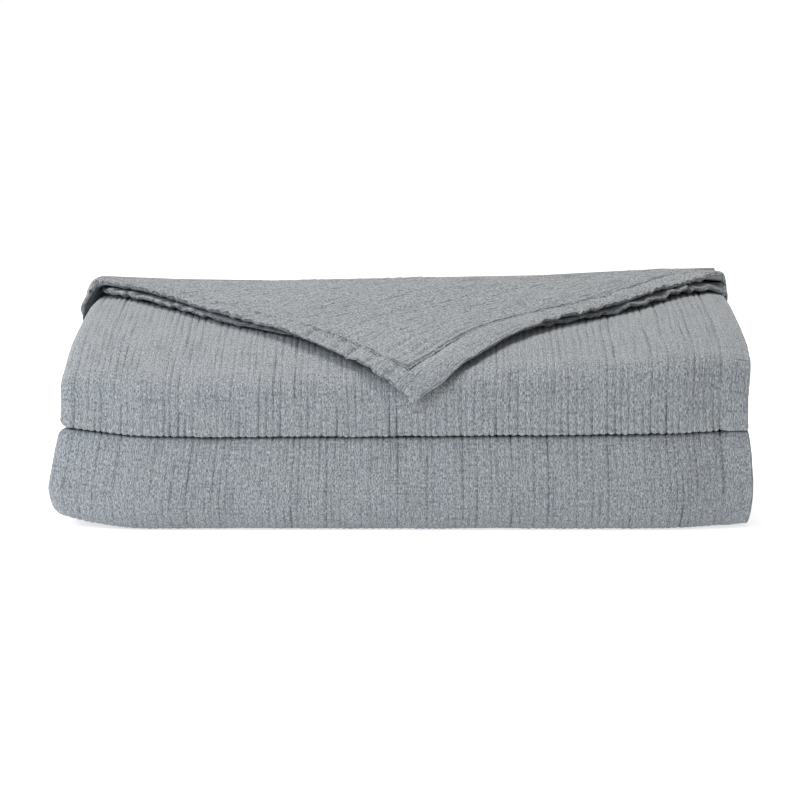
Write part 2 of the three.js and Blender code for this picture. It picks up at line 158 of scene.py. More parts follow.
# Its two layers. face and way: which way the outer face looks and the row runs; set_back: how far the
# edges lie inside the outline at the back and at the tip; radii: of the bends over the sides;
# notch_shift: of the slow wave of its left edge
LOWER_LAYER = {
    "piece": 0, "way": -1, "face": -1, "ribbed": False, "turn_steps": 6, "seed": 51,
    "notch_shift": 331.5, "radius": 0.5 * PITCH, "level": 0.5 * PITCH + CORNER_LIFT,
    "back_radius": 3.0, "front_radius": 3.0, "right_radius": 1.0,
    "set_back": (-3.5, 9.0), "left_widest": 291.5, "right_widest": 301.5,
    "wave": 2.4, "wave_rise": 0.3, "crease_shift": 6.0, "tuck": 0.0, "pressed": 0.0,
}
UPPER_LAYER = {
    "piece": LAST_PIECE, "way": 1, "face": 1, "ribbed": True, "turn_steps": 9, "seed": 61,
    "notch_shift": 396.5, "radius": 1.5 * PITCH, "level": 1.5 * PITCH + CORNER_LIFT,
    "back_radius": -2.5, "front_radius": 9.5, "right_radius": -2.5,
    "set_back": (0.0, 0.0), "left_widest": 342.0, "right_widest": 308.0,
    "wave": 1.7, "wave_rise": 0.8, "crease_shift": 0.0, "tuck": 4.4, "pressed": 1.7,
}
# Rise and fall of its two edges, which reaches this far in, and where it is quiet or pressed down
LEFT_WAVE_REACH = 14
RIGHT_WAVE_REACH = 12
LEFT_DIPS = 0.9
RIGHT_DIPS = 0.7
RIGHT_RISE = 0.4
RIGHT_WAVE_STARTS = (1, 30, 60)
TIP_QUIET_OVER = 70
DRAPE_QUIET = (0.9, LEFT_DRAPE_X, 10)
NOTCH_QUIET = (0.95, LEFT_DRAPE_X, 10)
TUCK_WIDTH = (1, 0, 14.0)
TUCK_STARTS = (1, 12, 30)
TUCK_ENDS = (1, 90, 120)
PRESSED_STARTS = (1, 262, 22)
PRESSED_ENDS = (1, 30, 55)
# The rims: round, drawn in by notches at the left, and by a slow wave at the right
EDGE_INSET = 0.9
EDGE_STEPS = np.array([EDGE_INSET, 2.2, 3.9])
EDGE_ROUND = 6.0
EDGE_DROP = 2.6
HEM_THICKER, THICKER_ENDS_OVER = 0.1, 2
CORNER_EDGE = (1, -1, 2.5)
NOTCH_DEPTH = 0.8

# Ribs and hems
FRONT_RIBS = {"shoulder": 0.8, "fade_length": 38, "seed": 11}
CORNER_RIBS = {"shoulder": 1.4, "fade_length": 15, "seed": 23}
CORNER_RIB_SPACING = 1.3
CORNER_RIB_DEPTH = 1.6
FRONT_CROWN = 0.3
CORNER_CROWN = 0.8
RIB_UNEVENNESS = 0.16
PLAIN_STRENGTH = (0.5, 0.45)
RIB_FADING = {"mean": 0.7, "slow": 0.45, "quick": 0.25, "quick_length": 7, "least": 0.05, "most": 1.3}
PUCKER_SIZE = (7.5, 6.5)
PILLOW_POWER = 0.6
RIBS_START_OVER = 3
HEM_LINES = np.array([0.0, 0.16, 0.4, 0.68])
BAND_EDGE = 1.6
FRONT_SEAM = {"depth": 0.5, "width": 1.2}
FRONT_EDGE_FADE = 3
WANDER_FADE = 40
UPPER_STARTS = (1, 80, 100)
SEAM_EDGE_ANGLE = 0.8
SCALLOP = {"more": 1.2, "width": 9.0}
# The left hem of the corner is narrower, and each of its seams has a fainter second line
LEFT_HEM_LESS = 4.0
CORNER_SEAM = {"depth": 1.2, "width": 0.8, "apart": 3, "second": 0.7, "shade": 2.0}
SEAM_LINES = np.array([-1.4, -0.7, 0.0, 0.7, 1.5, 2.3, 3.0, 3.7, 4.6])
LEFT_HEM_LINES = np.array([2.0, 5.0, 8.5, 12.0, 15.5])
HEM_END_PAST = 0.5
STRAY_STARTS = (1, 5, 12)
# The creases across its hems: their steps go from the tip's to the back's
HEM_CREASES = {
    "steps": (20.0, 11.0, 34), "unevenness": 0.3, "least": 0.45, "seed": 71,
    "width": 2.6, "depth": 2.4, "pull": 3.4, "left_ends": (1, -4, 14), "right_ends": (1, -6, 12),
}
# Along the right hem they stand closer, start here and show only far from the tip
RIGHT_CREASES = {"closer": 1.4, "shift": 5, "start": (1, 110, 110)}
# How much painted shade the ribs' grooves, the creases across the hems and the rims' creases get
RIB_SHADE = 0.45
CREASE_SHADE = 0.9
RIM_SHADE = 1.1
# Uneven heights on the cloth: how high, how long across and along the ribs, the phase and the seed
UNEVEN = {
    "front_swell": (0.35, 55, 42, 0, 5),
    "front_wander": (1.6, 70, 60, 0, 9),
    "corner_wrinkle": (0.7, 4.5, 9, 0, 31),
    "corner_swell": (0.5, 45, 60, 0, 33),
    "corner_stray": (2.2, 35, 17, 0, 41),
    "right_notch": (NOTCH_DEPTH, 16, 1, 0.5, 67),
    # The corner's edges: here the seed is added to the layer's
    "left_quick": (0.65, 6.5, 40, 7, 0),
    "left_slow": (0.4, 24, 60, 3, 1),
    "right_quick": (1.0, 6.5, 40, 5, 2),
    "right_slow": (0.3, 25, 60, 5, 3),
    "left_notch": (NOTCH_DEPTH, 13, 1, 0.5, 4),
}
NOISE_SIDE = 128
GROOVE_PHASES = (3.7, 5.3)
# Main creases, read from the photo: how far from the right hem each runs down the front of the
# upper and of the lower tier, and how strong it is
UPPER_CREASES = {
    "place": [25, 49, 62, 111, 144, 159, 171, 187, 205, 219,
              265, 283, 302, 326, 346, 373, 386, 444, 461, 475],
    "strength": [0.8, 0.9, 0.6, 1.0, 0.5, 0.7, 0.7, 0.7, 0.6, 0.5,
                 0.8, 0.6, 1.0, 0.7, 0.5, 0.8, 0.9, 0.4, 0.5, 0.8],
}
LOWER_CREASES = {
    "place": [25, 58, 82, 106, 130, 166, 180, 212, 231, 273,
              299, 322, 347, 358, 397, 415, 438, 479, 520],
    "strength": [1.0, 0.9, 0.7, 0.6, 0.8, 0.6, 0.7, 0.7, 0.7, 1.0,
                 0.8, 0.8, 0.7, 0.9, 0.6, 0.5, 0.6, 0.6, 0.4],
}

# Rows of points along the length. Each block: half (-1 wraps the back fold, 1 the front folds), panel,
# steps along the panel, steps round the fold after it, and which of the two shows and has fine ribs
ROW_BLOCKS = [
    (-1, 3, 3, 0, ""), (-1, 2, 3, 14, ""), (-1, 1, 3, 24, "fold"), (-1, 0, 3, 14, ""),
    (1, 0, 3, 36, "fold"), (1, 1, 3, 14, ""), (1, 2, 3, 36, "fold"), (1, 3, 38, 0, "panel"),
]
BACK_BLOCKS = 4
START_FOLD_STEPS = 8
LAST_FINE_SHARE = 0.94
PLAIN_SHARES = np.array([0.0, 0.035, 0.1, 0.3, 0.7, 0.9, 0.965, 1.0])
# Rows and stations of the corner
FIRST_ROWS = np.array([0.0, 3.0, 6.0, 9.0])
FIRST_RIB_ROW = 12
ROW_PITCH = 2.5
LEAST_STEP = 0.4
CLEAR_OF_EDGE = 0.7
PLAIN_STATIONS = np.linspace(0, 1, 13)
DRAPE_STATIONS = np.linspace(0, 50.0, 9)
INNER_STEPS = [9, 21]
# Keeps the left hem's lines, which are joined along the left edge, before all others
FAR = 10000.0
# Between two rows whose next points lie equally far, the first row steps first
TIE = 1e-6

STITCH_SIDES = 6
STITCH_RINGS = np.array([0.0, 0.12, 0.35, 0.65, 0.88, 1.0])
STITCH_ARCH = {"rise": 3.2, "sunk": 2.0}
TOP_STITCH_SHARE = 0.9
FIRST_STITCH = 1
# Rounds in which a place follows an edge that is drawn in
EDGE_ROUNDS = 2


def smooth(value):
    """s * s * (3 - 2 s) of the value held between 0 and 1."""
    share = np.clip(value, 0, 1)
    return share * share * (3 - 2 * share)


def step(value, change):
    """The change as a smooth step: its height times smooth((value - start) / length)."""
    height, start, length = change
    return height * smooth((value - start) / length)


def climb(value, change):
    """The change as a square: its height times ((value - start) / length) ^ 2, or 0 before the start."""
    height, start, length = change
    return height * np.maximum(0, (value - start) / length) ** 2


def bell(distance, width):
    """exp(-(distance / width) ^ 2)."""
    return np.exp(-((distance / width) ** 2))


def blend(low, high, share):
    """low + (high - low) * share."""
    return low + (high - low) * share


def settle(x, y, z):
    """Settled places of coordinates that broadcast against each other: height and reach are scaled by
    the two tables, the upper tier is a little fuller at the front right, the ends are drawn in towards
    the middle, and the ends and the top's edges rise by smooth steps and squares."""
    x, y, z = np.broadcast_arrays(x, y, z)
    side, depth = np.abs(x), y - STACK_FRONT
    thickness = np.interp(depth, UPPER_TIER_SETTLE["depth"], UPPER_TIER_SETTLE["thickness"])
    thickness = thickness + step(x, FULLER_RIGHT) * (1 - step(depth, FULLER_ENDS))
    height = np.minimum(z, TIER_HEIGHT) + np.maximum(0, z - TIER_HEIGHT) * thickness
    left, right = (np.interp(height, SIDE_SETTLE["height"], SIDE_SETTLE[name]) for name in ("left", "right"))
    reach = x * np.where(x < 0, left, right)
    fade = 1 - END_LIFT_FADE * np.clip(z / STACK_TOP, 0, 1)
    height = height + (climb(-x, LEFT_END_LIFT) + climb(x, RIGHT_END_LIFT)) * fade
    rise = TOP_TILT * x / RIGHT_REACH + step(side, TOP_EDGE_RISE)
    rise = rise - climb(side, TOP_EDGE_DROOP) * (1 - step(z, DROOP_ENDS))
    height = height + (z / STACK_TOP) ** 2 * rise
    return np.stack([reach, y * (1 - step(side, END_ROUNDING)), height], -1) + BOX_SHIFT


def fold_curve(angle, squareness=FOLD_SQUARENESS):
    """A circle made a little squarer: out = |sin a| ^ (2 / q), along = sign(cos a) |cos a| ^ (2 / q)."""
    power = 2 / squareness
    return np.abs(np.sin(angle)) ** power, np.sign(np.cos(angle)) * np.abs(np.cos(angle)) ** power


def across_point(piece, share, offset):
    """Place from left to right and distance from the bundle's middle. A layer runs straight from its
    x at its level, a side fold is half a circle of its radius about its level."""
    at = {name: values[piece] for name, values in ACROSS.items()}
    angle = math.pi * share
    radius = at["radius"] + at["face"] * offset
    folded = at["is_fold"] > 0
    x = at["x"] + at["way"] * np.where(folded, radius * np.sin(angle), at["length"] * share)
    rise = np.where(folded, -at["turn"] * radius * np.cos(angle), at["face"] * offset)
    return x, at["level"] * PITCH + rise


def bundle_point(row, x, distance):
    """Place in the stack. The bundle is laid back and forth: a panel is straight, a thick fold turns
    half a squared circle round its end, and the start of the bundle turns about its own middle. Near
    the seam between the tiers a fold is squarer, and rises by a smooth step of how far out it is."""
    panel, angle = row["panel"].astype(int), row["angle"]
    rising = panel % 2 == 1
    turn_out, turn_along = fold_curve(row["start"])
    level = HALF_BUNDLE - distance * turn_along
    radius = np.where(rising, BUNDLE - level, level)
    seams = [(panel == 0) & (angle > math.pi / 2), (panel == 2) & (angle < math.pi / 2)]
    squareness = np.select(seams + [panel == 2], SEAM_SQUARENESS + [TOP_SQUARENESS], FOLD_SQUARENESS)
    out, along = fold_curve(angle, squareness)
    y = blend(PANEL_FROM[panel], PANEL_TO[panel], row["share"])
    y = y + np.where(rising, 1, -1) * FOLD_BULGE * radius * out + FOLD_BULGE * distance * turn_out
    z = panel * BUNDLE + BUNDLE - radius * along - GROUND_SHIFT
    z = z + np.select(seams, SEAM_RISE, 0) * step(out, SEAM_RISES) * np.abs(along)
    return settle(x, y, z)


def side_bend(sideways, level, left_radius, right_radius):
    """x and drop of a place on the corner: past a side it turns down in a quarter circle of its radius
    and height over the stack, and then hangs straight."""
    edge = np.where(sideways < 0, LEFT_DRAPE_X, RIGHT_DRAPE_X)
    bend = np.where(sideways < 0, left_radius, right_radius) + level
    past = np.maximum(0, np.abs(sideways) - edge)
    arc = math.pi / 2 * bend
    angle = math.pi / 2 * np.minimum(1, past / arc)
    x = np.sign(sideways) * (np.minimum(np.abs(sideways), edge) + bend * np.sin(angle))
    return x, bend * (1 - np.cos(angle)) + np.maximum(0, past - arc)


def corner_point(forward, sideways, height, layer):
    """Place on the turned corner. forward runs from the back edge straight over the top, round a
    squared quarter circle and down the front, and sideways from the middle to both sides."""
    level = height + step(forward, TIP_STAND_OFF)
    radius = BUNDLE + level
    quarter = QUARTER_TURN * radius
    over = np.maximum(0, forward - TOP_LENGTH)
    out, along = fold_curve(math.pi / 2 * np.minimum(1, over / quarter), TOP_SQUARENESS)
    hanging = STACK_TOP - BUNDLE + radius * along - np.maximum(0, over - quarter)
    y = np.where(over > 0, -FOLD_CENTRE_Y - FOLD_BULGE * radius * out, TOP_END_Y - forward)
    z = np.where(over > 0, hanging, STACK_TOP + level)
    left_radius = blend(layer["back_radius"], layer["front_radius"], step(forward, FLARES))
    x, drop = side_bend(sideways, level, left_radius, layer["right_radius"])
    return settle(x, y, z - drop - GROUND_SHIFT)


def hem_places(forward, sideways, bows):
    """Places on the flat cloth of the turned corner, across and along its ribs: a is the distance from
    the right edge and b from the left, both measured from where the edge is drawn in. The left hem is
    narrower, so b starts at what it lacks."""
    a = (CORNER_MIDDLE_X + CORNER_LENGTH - forward - sideways) / ROOT_2
    b = (CORNER_LENGTH - forward - CORNER_MIDDLE_X + sideways) / ROOT_2
    return a - bows[1] / ROOT_2, b - bows[0] / ROOT_2 + LEFT_HEM_LESS


def cloth_noise(u, v, seed):
    """Uneven heights from -1 to 1: a seeded number at each whole u and v, eased in between."""
    table = np.random.default_rng(seed).uniform(-1, 1, (NOISE_SIDE, NOISE_SIDE))
    u, v = np.broadcast_arrays(u, v)
    i, j = np.floor(u).astype(int), np.floor(v).astype(int)
    s, t = smooth(u - i), smooth(v - j)
    near, far = (
        table[i % NOISE_SIDE, k % NOISE_SIDE] * (1 - s) + table[(i + 1) % NOISE_SIDE, k % NOISE_SIDE] * s
        for k in (j, j + 1)
    )
    return near * (1 - t) + far * t


def uneven(name, across, along, seed=0):
    """height * noise(across / width, along / length + phase), by the table."""
    height, width, length, phase, own_seed = UNEVEN[name]
    return height * cloth_noise(across / width, along / length + phase, own_seed + seed)


class RibPattern:
    """The pleats of the cloth: grooves at nearly even spacing, each fading in and out along its length,
    with a few main creases. A groove has a line of points in it and one on each shoulder, and the crown
    between two grooves has one line."""

    def __init__(self, hem, length, spacing, shoulder, fade_length, seed):
        rng = np.random.default_rng(seed)
        steps = spacing * (1 + RIB_UNEVENNESS * rng.uniform(-1, 1, int(2 * length / spacing)))
        places = hem + np.cumsum(steps)
        self.seed, self.hem, self.spacing = seed, hem, spacing
        self.shoulder, self.fade_length = shoulder, fade_length
        self.grooves = np.append(hem, places[places < length - spacing / 2])
        self.between = (self.grooves[1:] + self.grooves[:-1]) / 2
        least, more = PLAIN_STRENGTH
        plain = least + more * rng.random(self.grooves.size) ** 2
        self.strengths = {"lower": plain, "upper": plain.copy()}
        lines = [HEM_LINES * hem, self.grooves, self.grooves - shoulder, self.grooves + shoulder]
        self.lines = np.sort(np.concatenate(lines + [self.between]))

    def mark(self, name, creases):
        """Makes the grooves nearest to the main creases as strong as the table says."""
        self.strengths[name][np.searchsorted(self.between, creases["place"])] = creases["strength"]

    def nearest(self, place):
        """Number of the nearest groove, and how far past it the place lies."""
        number = np.searchsorted(self.between, place)
        return number, place - self.grooves[number]

    def inside(self, place):
        """0 on the hem, 1 from its stitches on."""
        return smooth((place - self.hem + RIBS_START_OVER) / RIBS_START_OVER)

    def groove(self, place, along, share=0.0):
        """How deep the nearest groove is here, 0 to about 1: its strength, which fades in and out along
        it, times exp(-(d / w) ^ 2). share runs from the lower tier's creases, 0, to the upper's, 1."""
        number, distance = self.nearest(place)
        strength = blend(self.strengths["lower"][number], self.strengths["upper"][number], share)
        slow = cloth_noise(number * GROOVE_PHASES[0], along / self.fade_length, self.seed + 1)
        quick = cloth_noise(number * GROOVE_PHASES[1], along / RIB_FADING["quick_length"], self.seed + 3)
        fading = RIB_FADING["mean"] + RIB_FADING["slow"] * slow + RIB_FADING["quick"] * quick
        fading = np.clip(fading, RIB_FADING["least"], RIB_FADING["most"])
        return self.inside(place) * strength * fading * bell(distance, self.shoulder)

    def relief(self, place, along, depth, pucker, crown, share=0.0):
        """Height over the flat cloth: a low pillow between two grooves, with puckers, less the depth of
        the groove."""
        puckers = pucker * cloth_noise(place / PUCKER_SIZE[0], along / PUCKER_SIZE[1], self.seed + 2)
        distance = np.abs(self.nearest(place)[1])
        pillow = crown * np.minimum(1, 2 * distance / self.spacing) ** PILLOW_POWER
        return self.inside(place) * (puckers + pillow) - depth * self.groove(place, along, share)


def join_rows(first, second, turned=False):
    """Triangles between two rows of points, stepping along whichever row is behind."""
    (ids_a, at_a), (ids_b, at_b) = first, second
    order = np.argsort(np.concatenate([at_a[1:] - TIE, at_b[1:]]), kind="stable")
    on_first = order < at_a.size - 1
    i, j = np.cumsum(on_first), np.cumsum(~on_first)
    third = np.where(on_first, ids_a[i], ids_b[j])
    triangles = np.stack([ids_a[i - on_first], ids_b[j - ~on_first], third], -1)
    return triangles[:, ::-1] if turned else triangles


class ClothMesh:
    """Points, their places on the flat cloth, the painted shade of their creases, and triangles,
    gathered block by block.
    """

    def __init__(self):
        self.points, self.places, self.creases, self.triangles = [], [], [], []
        self.count = 0

    def add(self, points, u, v, crease=0.0):
        """Adds a grid of points, and gives the grid of their numbers."""
        shape = points.shape[:-1]
        places = np.stack([np.broadcast_to(u, shape), np.broadcast_to(v, shape)], -1)
        self.creases.append(np.broadcast_to(crease, shape).ravel())
        self.points.append(points.reshape(-1, 3))
        self.places.append(places.reshape(-1, 2))
        ids = self.count + np.arange(int(np.prod(shape))).reshape(shape)
        self.count += ids.size
        return ids

    def join(self, first, second):
        """Joins both faces of two cloth rows and closes their two edges round the rim points. An edge
        that is cut free from there on has no rim point in its first row."""
        self.triangles.append(join_rows(first["outer"], second["outer"]))
        self.triangles.append(join_rows(first["inner"], second["inner"], True))
        for side, edge in ((0, "start"), (-1, "end")):
            outer, far_outer, inner, far_inner = (
                row[face][0][side] for face in ("outer", "inner") for row in (first, second)
            )
            rim, far_rim = first[edge], second[edge]
            if rim is None:
                fan = [[outer, far_rim, far_outer], [outer, inner, far_rim], [inner, far_inner, far_rim]]
            else:
                fan = [[outer, far_rim, far_outer], [outer, rim, far_rim],
                       [rim, far_inner, far_rim], [rim, inner, far_inner]]
            self.triangles.append(np.array(fan) if side == -1 else np.array(fan)[:, ::-1])

    def close_end(self, row, forward):
        """Closes the end of the cloth between its two faces, round the two rim points."""
        faces = (row["outer"], row["inner"]) if forward else (row["inner"], row["outer"])
        self.triangles.append(join_rows(*faces))
        for side, edge in ((0, "start"), (-1, "end")):
            triangle = np.array([[row["outer"][0][side], row["inner"][0][side], row[edge]]])
            self.triangles.append(triangle[:, ::-1] if forward == (side == 0) else triangle)


def mesh_object(name, points, triangles, places, material):
    """A smooth mesh object from whole arrays, with the flat cloth's places as its UV map."""
    mesh = bpy.data.meshes.new(name)
    mesh.from_pydata(points, [], triangles, shade_flat=False)
    layer = mesh.uv_layers.new(name="flat_cloth")
    layer.data.foreach_set("uv", places[triangles.ravel()].astype(np.float32).ravel())
    mesh.update()
    mesh.validate()
    mesh.materials.append(material)
    obj = bpy.data.objects.new(name, mesh)
    bpy.context.scene.collection.objects.link(obj)
    return obj


def block_rows(half, panel, panel_steps, fold_steps, fine):
    """Rows of one panel and of the thick fold after it, in the order in which the half runs."""
    share = np.linspace(0, 1, panel_steps + 1)
    angle = math.pi * np.arange(1, fold_steps) / max(1, fold_steps)
    size = share.size + angle.size
    rows = {
        "panel": np.full(size, panel, float),
        "share": np.append(share, np.ones(angle.size)),
        "angle": np.append(np.zeros(share.size), angle),
        "start": np.full(size, 0.0 if half < 0 else math.pi),
        "fine": np.append((fine == "panel") & (share < LAST_FINE_SHARE), np.full(angle.size, fine == "fold")),
    }
    return {name: values[::half] for name, values in rows.items()}


def bundle_rows():
    """All rows: up one half from its hem at the top, round the start of the bundle, and up the other."""
    parts = [block_rows(*block) for block in ROW_BLOCKS]
    turning = math.pi * np.arange(1, START_FOLD_STEPS) / START_FOLD_STEPS
    start = {name: np.zeros(turning.size) for name in parts[0]}
    start["start"] = turning
    parts.insert(BACK_BLOCKS, start)
    return {name: np.concatenate([part[name] for part in parts]) for name in start}


def plain_stations(first_places):
    """Stations across the whole width: the first layer at the places given, and the other layers and
    the side folds at a few even shares. Gives piece, share and running place."""
    shares = [
        np.arange(1, steps) / steps if steps else PLAIN_SHARES.copy() for steps in ACROSS["steps"]
    ]
    shares[0] = first_places / LAYER_WIDTH
    shares[LAST_PIECE][-1] = 1 - EDGE_INSET / LAYER_WIDTH
    piece = np.repeat(np.arange(len(shares)), [share.size for share in shares])
    share = np.concatenate(shares)
    start = np.append(0.0, np.cumsum(ACROSS["length"]))[piece]
    return {"piece": piece, "share": share, "at": start + share * ACROSS["length"][piece]}


def pick_rows(rows, keep):
    """The chosen rows, as columns that broadcast against stations."""
    return {name: values[keep][:, None] for name, values in rows.items()}


def corner_stations(low, high, steps):
    """A few stations across a plain row of the corner, closer together near its ends and where it
    bends over a side."""
    inward = np.append(steps, INNER_STEPS)
    drapes = [-LEFT_DRAPE_X - DRAPE_STATIONS, RIGHT_DRAPE_X + DRAPE_STATIONS]
    extra = np.concatenate(drapes + [low + inward, high - inward])
    extra = extra[(extra > low) & (extra < high)]
    return np.unique(np.round(np.append(blend(low, high, PLAIN_STATIONS), extra), 4))


def corner_ends(forward, layer):
    """Left and right end of each row of the corner, and how far both edges are drawn in."""
    share = np.clip((forward - SET_BACK_FROM) / SET_BACK_OVER, 0, 1)
    pointed = CORNER_LENGTH - blend(*layer["set_back"], share) * ROOT_2 - forward
    widening, middle = step(forward, LAPPET_WIDENS), step(forward, MIDDLE_SHIFT)
    bows = [np.interp(pointed, table["from_tip"], table["bow"]) for table in (LEFT_BOW, RIGHT_BOW)]
    left = np.minimum(pointed, blend(LEFT_FOLD_X, layer["left_widest"], widening))
    right = np.minimum(pointed, blend(RIGHT_REACH, layer["right_widest"], widening))
    return middle - left + bows[0], middle + right - bows[1], bows


class CoverletCloth:
    """Builds the whole cloth: the folded bundle and the corner that its first and last layer make."""

    def __init__(self, sizes):
        self.mesh = ClothMesh()
        self.depth = sizes.groove_depth / MM
        self.pucker = sizes.pucker_height / MM
        self.hem = sizes.hem_width / MM
        self.hem_rise = sizes.hem_rise / MM
        spacing = sizes.rib_spacing / MM
        self.ribs = RibPattern(self.hem, LAYER_WIDTH, spacing, **FRONT_RIBS)
        self.ribs.mark("upper", UPPER_CREASES)
        self.ribs.mark("lower", LOWER_CREASES)
        spacing *= CORNER_RIB_SPACING
        self.corner_ribs = RibPattern(self.hem, CORNER_LENGTH * ROOT_2, spacing, **CORNER_RIBS)
        rng = np.random.default_rng(HEM_CREASES["seed"])
        steps = np.linspace(*HEM_CREASES["steps"])
        steps = steps * (1 + HEM_CREASES["unevenness"] * rng.uniform(-1, 1, steps.size))
        self.hem_creases = np.cumsum(steps)
        self.crease_strengths = blend(HEM_CREASES["least"], 1, rng.random(steps.size))
        self.rows = bundle_rows()
        # Running length of the cloth at each row, on the middle of the first layer
        middle = bundle_point(self.rows, 0.0, np.full(self.rows["panel"].size, ACROSS["level"][0] * PITCH))
        self.along = np.append(0.0, np.cumsum(np.linalg.norm(np.diff(middle, axis=0), axis=1)))
        front, panel = self.rows["start"] == math.pi, self.rows["panel"]
        edge = front & (panel == 2) & (self.rows["angle"] > SEAM_EDGE_ANGLE)
        self.upper_from = self.along[np.argmax(front & (panel == 1))]
        self.upper_edge = self.along[np.argmax(edge)]

    def hem_band(self, place):
        """The hem is a raised band, with a smooth step down at its stitches."""
        return self.hem_rise * (1 - smooth((place - self.hem + BAND_EDGE) / BAND_EDGE))

    def upper_share(self, along):
        """0 on the lower tier's front, 1 on the upper's, changing in the middle of the hidden panel."""
        return step(along - self.upper_from, UPPER_STARTS)

    def first_layer_height(self, place, along):
        """Relief on the first layer's outer face: ribs, slow swells and the seam line, fading out at
        both edges, and the hem's band. The ribs are stronger at the upper tier's lower edge."""
        ribs = self.ribs.relief(place, along, self.depth, self.pucker, FRONT_CROWN, self.upper_share(along))
        scallop = 1 + SCALLOP["more"] * bell(along - self.upper_edge, SCALLOP["width"])
        seam = FRONT_SEAM["depth"] * self.depth * bell(place - self.hem, FRONT_SEAM["width"])
        fade = smooth(np.minimum(place, LAYER_WIDTH - place) / FRONT_EDGE_FADE)
        return (ribs * scallop + uneven("front_swell", place, along) - seam) * fade + self.hem_band(place)

    def wander(self, place, along):
        """How far a rib strays sideways along its length."""
        fade = smooth(np.minimum(place - self.hem, LAYER_WIDTH - place) / WANDER_FADE)
        return fade * uneven("front_wander", place, along)

    def bundle_face(self, keep, stations, offset, ribbed=False):
        """One face of the chosen rows: a grid of rows by stations."""
        along, place = self.along[keep][:, None], stations["at"][None, :]
        x, level = (values[None, :] for values in across_point(stations["piece"], stations["share"], offset))
        crease = 0.0
        if ribbed:
            first = stations["piece"][None, :] == 0
            level = level + np.where(first, self.first_layer_height(place, along), 0)
            x = x + np.where(first, self.wander(place, along), 0)
            # Painted shade in the grooves of the ribs, by how deep they are
            crease = np.where(first, self.ribs.groove(place, along, self.upper_share(along)), 0)
        return self.mesh.add(bundle_point(pick_rows(self.rows, keep), x, level), place, along, crease)

    def lay_bundle(self):
        """The folded bundle. Returns its last row, where the corner starts."""
        fine = self.rows["fine"] > 0
        every = fine | ~fine
        lines = self.ribs.lines[self.ribs.lines > EDGE_INSET]
        fine_stations = plain_stations(np.concatenate([[EDGE_INSET], lines, [LAYER_WIDTH]]))
        stations = plain_stations(np.append(EDGE_INSET, PLAIN_SHARES[1:] * LAYER_WIDTH))
        fine_rows = iter(self.bundle_face(fine, fine_stations, THICKNESS / 2, ribbed=True))
        coarse_rows = iter(self.bundle_face(~fine, stations, THICKNESS / 2))
        inner_rows = self.bundle_face(every, stations, -THICKNESS / 2)
        rims = []
        for piece, share in ((0, 0.0), (LAST_PIECE, 1.0)):
            x, level = across_point(np.array([[piece]]), np.array([[share]]), 0)
            points = bundle_point(pick_rows(self.rows, every), x, level)
            rims.append(self.mesh.add(points, -THICKNESS / 2, self.along[:, None])[:, 0])
        rows = []
        for is_fine, inner, start, end in zip(fine, inner_rows, *rims):
            outer = (next(fine_rows), fine_stations["at"]) if is_fine else (next(coarse_rows), stations["at"])
            rows.append({"outer": outer, "inner": (inner, stations["at"]), "start": start, "end": end})
        for first, second in zip(rows, rows[1:]):
            self.mesh.join(first, second)
        self.mesh.close_end(rows[0], False)
        return {**rows[-1], "pieces": stations}

    def make(self, material):
        """The whole cloth as one object: the bundle, the corner's two layers and the end closed between
        them, with the painted shade of its creases, by their depth, as an attribute."""
        last = self.lay_bundle()
        for layer in (LOWER_LAYER, UPPER_LAYER):
            self.lay_corner(last, layer)
        piece, share = last["pieces"]["piece"], last["pieces"]["share"]
        start = int(np.flatnonzero((piece == 0) & (share == 1))[0])
        end = int(np.flatnonzero((piece == LAST_PIECE) & (share == 0))[0])
        outer, inner = ([values[start:end + 1] for values in last[face]] for face in ("outer", "inner"))
        self.mesh.triangles.append(join_rows(outer, inner))
        points, places = np.concatenate(self.mesh.points) * MM, np.concatenate(self.mesh.places) * MM
        cloth = mesh_object("coverlet_cloth", points, np.concatenate(self.mesh.triangles), places, material)
        # Painted shade in the creases, which the cloth's material reads
        crease = cloth.data.attributes.new("crease", "FLOAT", "POINT")
        crease.data.foreach_set("value", np.concatenate(self.mesh.creases).astype(np.float32))
        return cloth

    def back_turn(self, layer, angles, x, offset, at):
        """Grid of angles by places on the corner's turn at the back: half a circle of the layer's
        radius, rising to the corner's lift, while its sides bend over the stack."""
        radius = layer["radius"] + layer["face"] * offset
        level = layer["level"] + layer["face"] * offset
        turned = (1 - np.cos(angles)) / 2
        bent_x, drop = side_bend(x, level, layer["back_radius"], layer["right_radius"])
        y = TOP_END_Y + radius * np.sin(angles)
        z = STACK_TOP - radius * np.cos(angles) + turned * (CORNER_LIFT - drop) - GROUND_SHIFT
        points = settle(blend(x, bent_x, turned), y, z)
        return self.mesh.add(points, at, self.along[-1] + layer["radius"] * angles)

